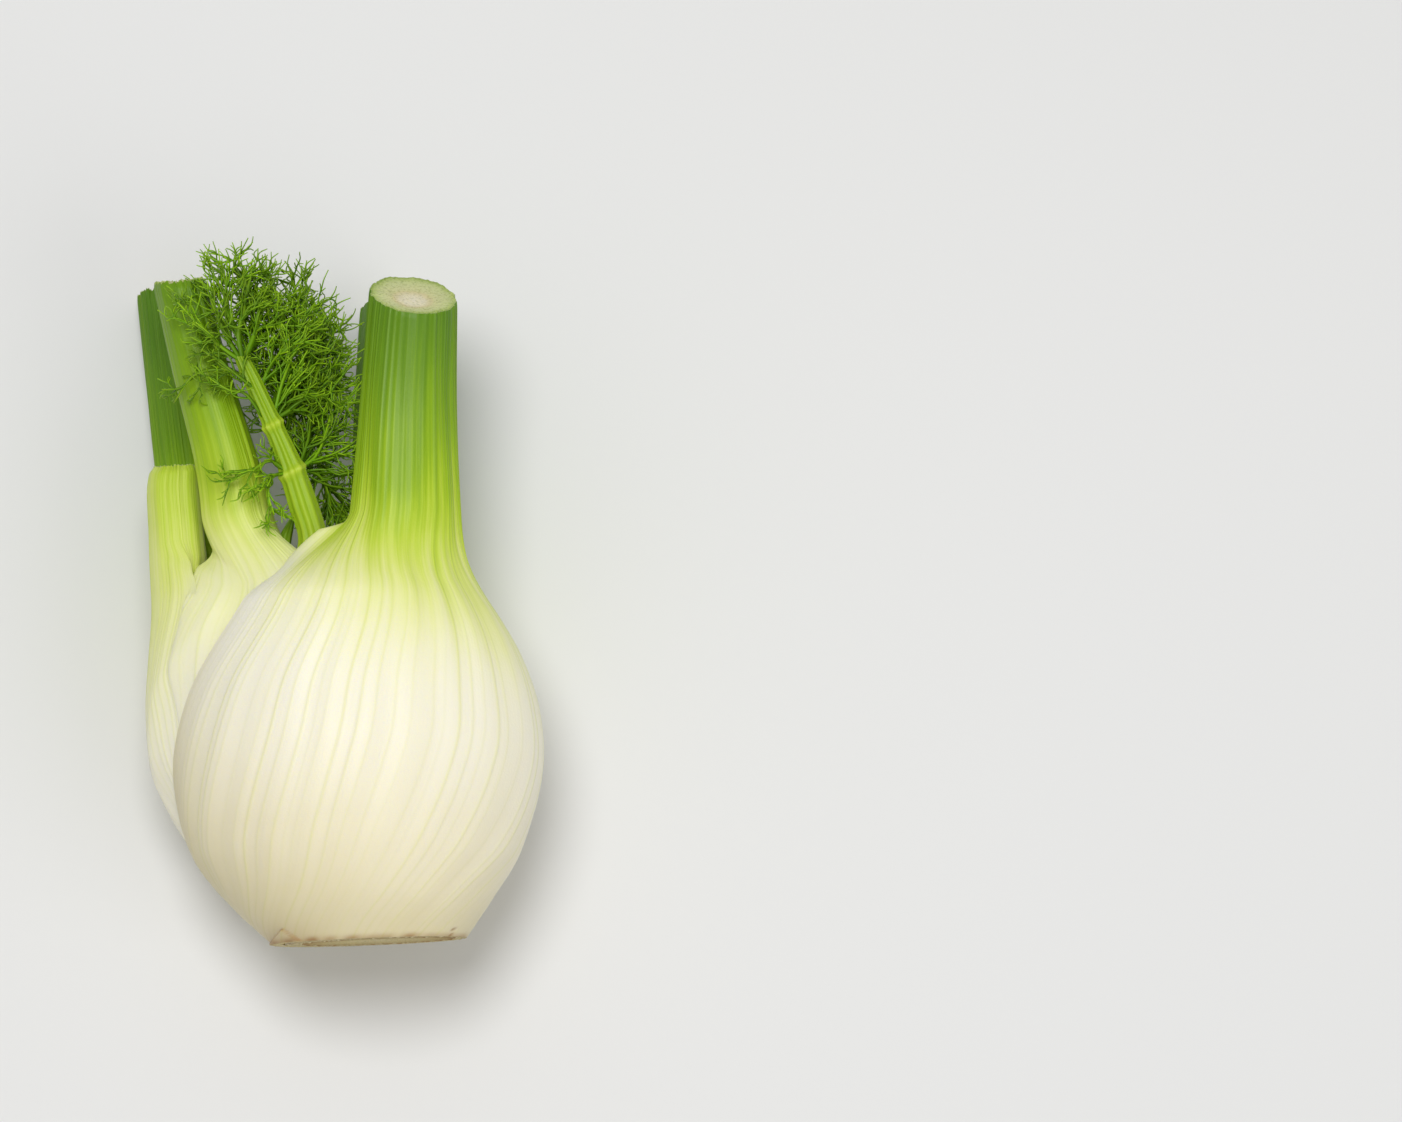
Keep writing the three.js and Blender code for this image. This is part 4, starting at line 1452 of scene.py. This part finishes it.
SPRAYS = (
    Spray("spray_tip_left", (
        ((-33.2, 144.2, 17.6), (-38, 147, 20), (-43, 151.6, 22), (-49, 158, 22.4)),
        ((-33.2, 144.2, 17.6), (-37.4, 150.6, 20), (-40, 157, 20), (-42, 163, 18)),
    ), 8.6, 4, 101, 0.9, forks=1),
    Spray("spray_tip_right", (
        ((-32.8, 144, 17.4), (-34, 151, 19.4), (-32.4, 158, 18.6), (-32.6, 168, 15)),
        ((-32.8, 144, 17), (-30, 152, 15.6), (-28, 160, 13), (-26, 168, 9)),
        ((-34, 150.6, 19), (-37, 157, 18), (-37.4, 163, 16), (-36.6, 169, 12)),
        ((-33, 147, 16), (-27, 153, 12), (-23, 159, 8), (-20, 165, 5)),
    ), 10.4, 7, 102, 1.0),
    Spray("spray_upper_left", (
        ((-28, 130.4, 16), (-32, 135, 20), (-36, 135.6, 21.6), (-41, 138.6, 22)),
        ((-29.8, 137, 17.4), (-34, 139.6, 20.6), (-38.6, 143, 22), (-43, 146, 22)),
        ((-31, 139.6, 17.6), (-38, 141, 21), (-45, 139.6, 20), (-50, 134, 15)),
    ), 7.4, 3, 103, 0.6, forks=1),
    Spray("spray_upper_right", (
        ((-25.2, 130, 14.6), (-23.4, 138, 15), (-21, 146, 13), (-17, 160, 8)),
        ((-28.6, 137.4, 15), (-26, 144, 14), (-21, 151, 12), (-15.6, 157, 9)),
        ((-25.2, 130, 13.6), (-20, 134, 12), (-15.6, 141, 9), (-12, 151, 5)),
        ((-25.2, 130, 13), (-19, 137, 8), (-16, 146, 6), (-14, 156, 3)),
    ), 12, 7, 104, 0.7),
    Spray("spray_lower_left", (
        ((-21.6, 116.4, 13.6), (-25.6, 118.4, 17.4), (-30, 115.4, 20), (-36.4, 112, 19.4)),
        ((-21.6, 116.4, 13.6), (-25, 114.4, 17), (-26, 109.6, 18), (-24.6, 105, 16)),
    ), 8.4, 4, 105, 0.6, forks=1),
    Spray("spray_lower_right", (
        ((-19, 117.6, 12.4), (-14.6, 121.4, 11), (-12, 129, 8.4), (-10.4, 139, 5)),
        ((-19, 117.6, 12.4), (-16.6, 126, 10), (-16, 133, 7), (-13, 142, 3)),
        ((-19, 117.6, 12.4), (-14, 117, 9), (-11.6, 113, 6.4), (-11, 108, 3)),
        ((-19, 117.6, 11), (-15, 122, 4), (-12.6, 118, 0), (-11, 112, -2)),
        ((-19, 117.6, 11), (-15, 128, 3), (-12.6, 137, 0), (-11, 147, -3)),
    ), 11, 7, 106, 0.6),
    Spray("spray_behind", (
        ((-26, 130.6, 12), (-25, 140, 4), (-24, 150, -1), (-22, 161, -5)),
        ((-21, 118.4, 10), (-22, 130, 1), (-20, 141, -5), (-18, 151, -8)),
        ((-29, 137, 14.6), (-31, 146, 8), (-31, 154, 3), (-31.6, 163, 0)),
        ((-26, 130.6, 12), (-19, 141, 3), (-16, 150, -1), (-13.6, 158, -4)),
        ((-21, 118.4, 10), (-17, 128, -2), (-15, 138, -6), (-13, 148, -9)),
    ), 12, 7, 107, 0.7),
)


def mesh_from_filaments(
    name: str, orders: list[tuple[Array, Array, Array, Array]], material: Material, sides: int = 3
) -> Piece:
    """Makes one mesh of many fine tapered stems, each closed at both ends.

    Args:
        name: The new object's name.
        orders: For each order of branching: points, both radii, and shade.
        material: The finish.
        sides: Sides of a stem.

    Returns:
        The object, at the origin.
    """
    corners, faces, along, shade = [], [], [], []
    first = 0
    turns = (np.arange(sides) / sides * 2 * np.pi)[:, None]
    for points, thick, thin, shades in orders:
        count, steps = points.shape[:2]
        tangent = unit(np.gradient(points, axis=1))
        mean = tangent.mean(1, keepdims=True)
        helper = np.where(np.abs(mean[..., 2:]) < 0.8, [[[0, 0, 1.0]]], [[[1.0, 0, 0]]])
        normal = unit(np.cross(tangent, helper))
        binormal = np.cross(tangent, normal)
        t = np.linspace(0, 1, steps)
        radius = (thick[:, None] + (thin - thick)[:, None] * t)[:, :, None, None]
        normal, binormal = normal[:, :, None], binormal[:, :, None]
        ring = points[:, :, None] + radius * np.cos(turns) * normal + radius * np.sin(turns) * binormal
        corners.append(ring.reshape(-1, 3))
        along.append(np.broadcast_to(t[None, :, None], ring.shape[:3]).ravel())
        shade.append(np.broadcast_to(shades[:, None, None], ring.shape[:3]).ravel())
        stem = first + np.arange(count)[:, None, None] * steps * sides
        row = np.arange(steps - 1)[None, :, None] * sides
        k = np.arange(sides)[None, None, :]
        a, b = stem + row + k, stem + row + (k + 1) % sides
        start = stem[:, 0] + np.arange(sides)
        faces.extend(np.stack([a, a + sides, b + sides, b], axis=-1).reshape(-1, 4).tolist())
        faces.extend(start.tolist())
        faces.extend((start[:, ::-1] + (steps - 1) * sides).tolist())
        first += count * steps * sides
    mesh = bpy.data.meshes.new(name)
    mesh.from_pydata(placed(np.concatenate(corners)).tolist(), [], faces)
    for label, values in (("along", along), ("shade", shade)):
        mesh.attributes.new(label, "FLOAT", "POINT").data.foreach_set("value", np.concatenate(values))
    mesh.shade_smooth()
    mesh.update()
    mesh.materials.append(material)
    piece = bpy.data.objects.new(name, mesh)
    bpy.context.collection.objects.link(piece)
    LOG.info("%s: %d faces", name, len(faces))
    return piece


@dataclass
class Stem(Grown):
    """The youngest leaf: the bulb's heart, and the ribbed stem of the frond.

    Attributes:
        node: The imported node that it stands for.
        neck: The stretch where the heart becomes the stem.
        rows: Rows of height, x, z, half width and half depth of the stem.
        nodes: Heights where the stem swells and sprays leave it.
        swell: How far it swells there, in millimetres.
        ribs: Ribs round the stem.
        rib_height: How far they stand out, in millimetres.
    """

    node: str = "inner_leaf"
    neck: tuple[float, float] = (84, 100)
    rows: Rows = field(default_factory=lambda: [
        [84, -14, 4, 8, 7], [100, -15, 8.6, 3.9, 3.7], [108, -17.4, 10.6, 3.8, 3.4],
        [117, -20.4, 12.6, 3.4, 3.1], [122.5, -22.6, 13.6, 3, 2.8], [128.5, -25.3, 14.6, 2.6, 2.5],
        [134, -27.9, 15.6, 2.5, 2.4], [140, -30.7, 16.6, 2.3, 2.2], [145, -33.1, 17.4, 1.8, 1.7],
    ])
    nodes: tuple[float, ...] = (117, 128.5)
    swell: float = 0.7
    ribs: int = 9
    rib_height: float = 0.16

    # Height where the heart starts, and the mesh's columns and rows
    FOOT = 13.3
    COLUMNS = 120
    ROWS = 230

    def skin(self) -> Skin:
        """Works out the heart and the stem."""
        y = np.linspace(self.FOOT, self.rows[-1][0], self.ROWS)[:, None]
        around, angle = round_tube(self.COLUMNS)
        reach = outline_reach(HEART, y, angle)
        for cover in WRAPPED:
            reach = soft_min(reach, cover.room_under(y, angle), cover.blend)
        heart_x, heart_z = wrapped(y, angle, reach)
        x, z, half_width, half_depth = np.moveaxis(through(self.rows, y), -1, 0)
        level = y - 0.55 * half_width * np.sin(angle - 0.5)
        swell = sum(self.swell * np.exp(-np.abs((level - node) / 0.8) ** 1.7) for node in self.nodes)
        rib = np.cos(angle * self.ribs + 1.1 * np.sin(angle * 2 + 0.7))
        relief = swell + self.rib_height * rib
        draw = smoothstep(*self.neck, y)
        px = heart_x + (x + (half_width + relief) * np.sin(angle) - heart_x) * draw
        pz = heart_z + (z + (half_depth + relief) * np.cos(angle) - heart_z) * draw
        points = grid_points(px, y + base_cut_shift(px, y, pz), pz)
        tone = y * 0.3 + 82 - 16 * swell
        return Skin.whole(points, around, tone, draw * np.clip(rib, 0, 1)).drawn_in(0).drawn_in(-1)


@dataclass
class Shoot(Grown):
    """A small shoot in the fork between the leaf bases.

    Attributes:
        node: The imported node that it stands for.
        path: Its middle, from foot to tip in millimetres.
        radius: Its radius at the foot, in millimetres.
    """

    node: str
    path: Path
    radius: float

    COLUMNS = 32
    ROWS = 40
    RIBS = 7

    def skin(self) -> Skin:
        """Works out a ribbed cone with a round tip."""
        line = curve(self.path, self.ROWS)
        share = np.linspace(0, 1, self.ROWS)[:, None]
        around, angle = round_tube(self.COLUMNS)
        rib = np.cos(angle * self.RIBS)
        size = self.radius * np.sqrt(np.maximum(1 - share**1.6, 0.02)) + 0.12 * rib
        points = grid_points(
            line[:, :1] + size * np.sin(angle), line[:, 1:2], line[:, 2:] + size * np.cos(angle))
        skin = Skin.whole(points, around, 112 + 30 * share, 0.5 + 0.5 * rib).drawn_in(0).drawn_in(-1)
        skin.cut[:] = 0
        return skin


SHOOTS = (
    Shoot("shoot_left", ((-22.4, 92, 0), (-22.8, 100, 3), (-20.6, 107, 5.4)), 2.2),
    Shoot("shoot_right", ((-9.4, 96, 0), (-8.2, 104, 0.6), (-9.2, 112, -1)), 2.4),
)


@dataclass
class RootPlate(Grown):
    """The disc at the base that every leaf grows from, cut off flat.

    Attributes:
        node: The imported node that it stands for.
        top: Its height, in millimetres.
        seed: Picks the grain of its cut.
        dish: How far the middle of the cut lies in, in millimetres.
    """

    node: str = "root_plate"
    top: float = 13.0
    seed: int = 77
    dish: float = 0.25

    COLUMNS = 160
    ROWS = 30

    def skin(self) -> Skin:
        """Works out the disc, which fills the room inside the leaf bases."""
        y = np.linspace(0, self.top, self.ROWS)[:, None]
        around, angle = round_tube(self.COLUMNS)
        room = np.full((self.ROWS, self.COLUMNS), 99.0)
        for cover in WRAPPED:
            room = soft_min(room, cover.room_under(y, angle), 0.4)
        px, pz = wrapped(y, angle, room * (1 - 0.45 * (y / self.top) ** 3))
        points = grid_points(px, y + base_cut_shift(px, y, pz), pz)
        skin = Skin.whole(points, around, y, 0.0)
        return skin.cut_off(0, PLATE_CAP, self.seed, self.dish).drawn_in(-1)


# The studio

@dataclass(frozen=True)
class Lamp:
    """One soft round light that faces the bulb.

    Attributes:
        name: The lamp's name.
        place: Where it hangs, in metres.
        size: Its width, in metres.
        watts: Its power.
    """

    name: str
    place: tuple[float, float, float]
    size: float
    watts: float

    def hang(self) -> None:
        """Adds the lamp to the scene."""
        data = bpy.data.lights.new(self.name, "AREA")
        data.shape = "DISK"
        data.size = self.size
        data.energy = self.watts
        lamp = bpy.data.objects.new(self.name, data)
        bpy.context.collection.objects.link(lamp)
        lamp.location = self.place
        lamp.rotation_mode = "QUATERNION"
        lamp.rotation_quaternion = (-Vector(self.place)).to_track_quat("-Z", "Y")


LAMPS = (
    Lamp("key", (-0.1, 0.1, 1.35), 0.6, 9.8),
    Lamp("fill", (0.9, -0.7, 0.9), 1.0, 3.4),
)


@dataclass
class Studio:
    """A plain pale floor, soft light and the photograph's viewing angle.

    Attributes:
        pixel: Millimetres that one pixel of the photograph covers on the bulb.
        image_width: The photograph's width in pixels.
        base_pixel: Where the middle of the cut base is in the photograph.
        centre_pixel: The middle of the photograph.
        elevation: The camera's height above the horizon, in degrees.
        distance: The camera's distance, in metres.
        sensor: The camera's sensor width, in millimetres.
        floor_gap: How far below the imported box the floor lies, in metres.
        sky: Strength of the light from all round.
    """

    pixel: float = 0.25
    image_width: int = 1402
    base_pixel: tuple[float, float] = (375, 938)
    centre_pixel: tuple[float, float] = (701, 561)
    elevation: float = 76
    distance: float = 2.5
    sensor: float = 36.0
    floor_gap: float = 0.0003
    sky: float = 0.42

    def camera(self) -> None:
        """Places the camera so that the bulb lies where it does in the photograph."""
        tilt = math.radians(self.elevation)
        right = (self.centre_pixel[0] - self.base_pixel[0]) * self.pixel
        up = (self.base_pixel[1] - self.centre_pixel[1]) * self.pixel / math.sin(tilt)
        target = Vector(placed(np.array([right, up, 0.0])))
        data = bpy.data.cameras.new("camera")
        data.sensor_width = self.sensor
        data.lens = self.sensor * self.distance / (self.pixel * self.image_width * MM)
        camera = bpy.data.objects.new("camera", data)
        bpy.context.collection.objects.link(camera)
        back = Vector((0, -math.cos(tilt), math.sin(tilt)))
        camera.location = target + back * self.distance
        camera.rotation_mode = "QUATERNION"
        camera.rotation_quaternion = (-back).to_track_quat("-Z", "Y")
        bpy.context.scene.camera = camera

    def floor(self) -> None:
        """Lays the floor under the bulb."""
        bpy.ops.object.select_all(action="DESELECT")
        bpy.ops.mesh.primitive_plane_add(size=6, location=(0, 0, CAD_BOX[0].z - self.floor_gap))
        floor = bpy.context.object
        floor.name = "floor"
        settings = {"Base Color": (0.78, 0.78, 0.77, 1), "Roughness": 0.7}
        floor.data.materials.append(new_material("pale floor", settings)[0])

    def build(self) -> None:
        """Sets up the whole studio."""
        self.camera()
        self.floor()
        for lamp in LAMPS:
            lamp.hang()
        world = bpy.data.worlds.new("soft sky")
        world.use_nodes = True
        world.node_tree.nodes["Background"].inputs["Color"].default_value = (1, 1, 1, 1)
        world.node_tree.nodes["Background"].inputs["Strength"].default_value = self.sky
        bpy.context.scene.world = world
        bpy.context.scene.view_settings.view_transform = "Standard"


def dress(piece: Piece, node: str) -> None:
    """Rides a piece on the bulb, in its node's place, and hides the node.

    Args:
        piece: The new piece.
        node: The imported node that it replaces.
    """
    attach(piece, "root")
    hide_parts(node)


def main() -> None:
    """Builds the studio and every piece in order."""
    logging.basicConfig(level=logging.INFO, format="%(name)s %(message)s")
    Studio().build()
    groups = streak_group(), grain_group()
    for index, model in enumerate(LEAF_MODELS):
        finish = LeafFinish(f"{model.node} flesh", index * 3.7, contrast=model.contrast)
        dress(model.build(finish.make(*groups)), model.node)
    plate = RootPlate()
    finish = LeafFinish("cut root plate", 31.0, vein_lift=0.0, fibre_lift=6.0, roughness=0.6)
    dress(plate.build(finish.make(*groups)), plate.node)
    finish = LeafFinish("frond stem", 41.0, vein_lift=-10.0, fibre_lift=7.0, roughness=0.4)
    stem = finish.make(*groups)
    for grown in (Stem(), *SHOOTS):
        dress(grown.build(stem), grown.node)
    frond = FrondFinish("frond green", (88, 136, 4), (146, 188, 16)).make()
    for spray in SPRAYS:
        piece = mesh_from_filaments(spray.node + "_filaments", spray.grow(), frond)
        dress(piece, spray.node)


if __name__ == "__main__":
    main()
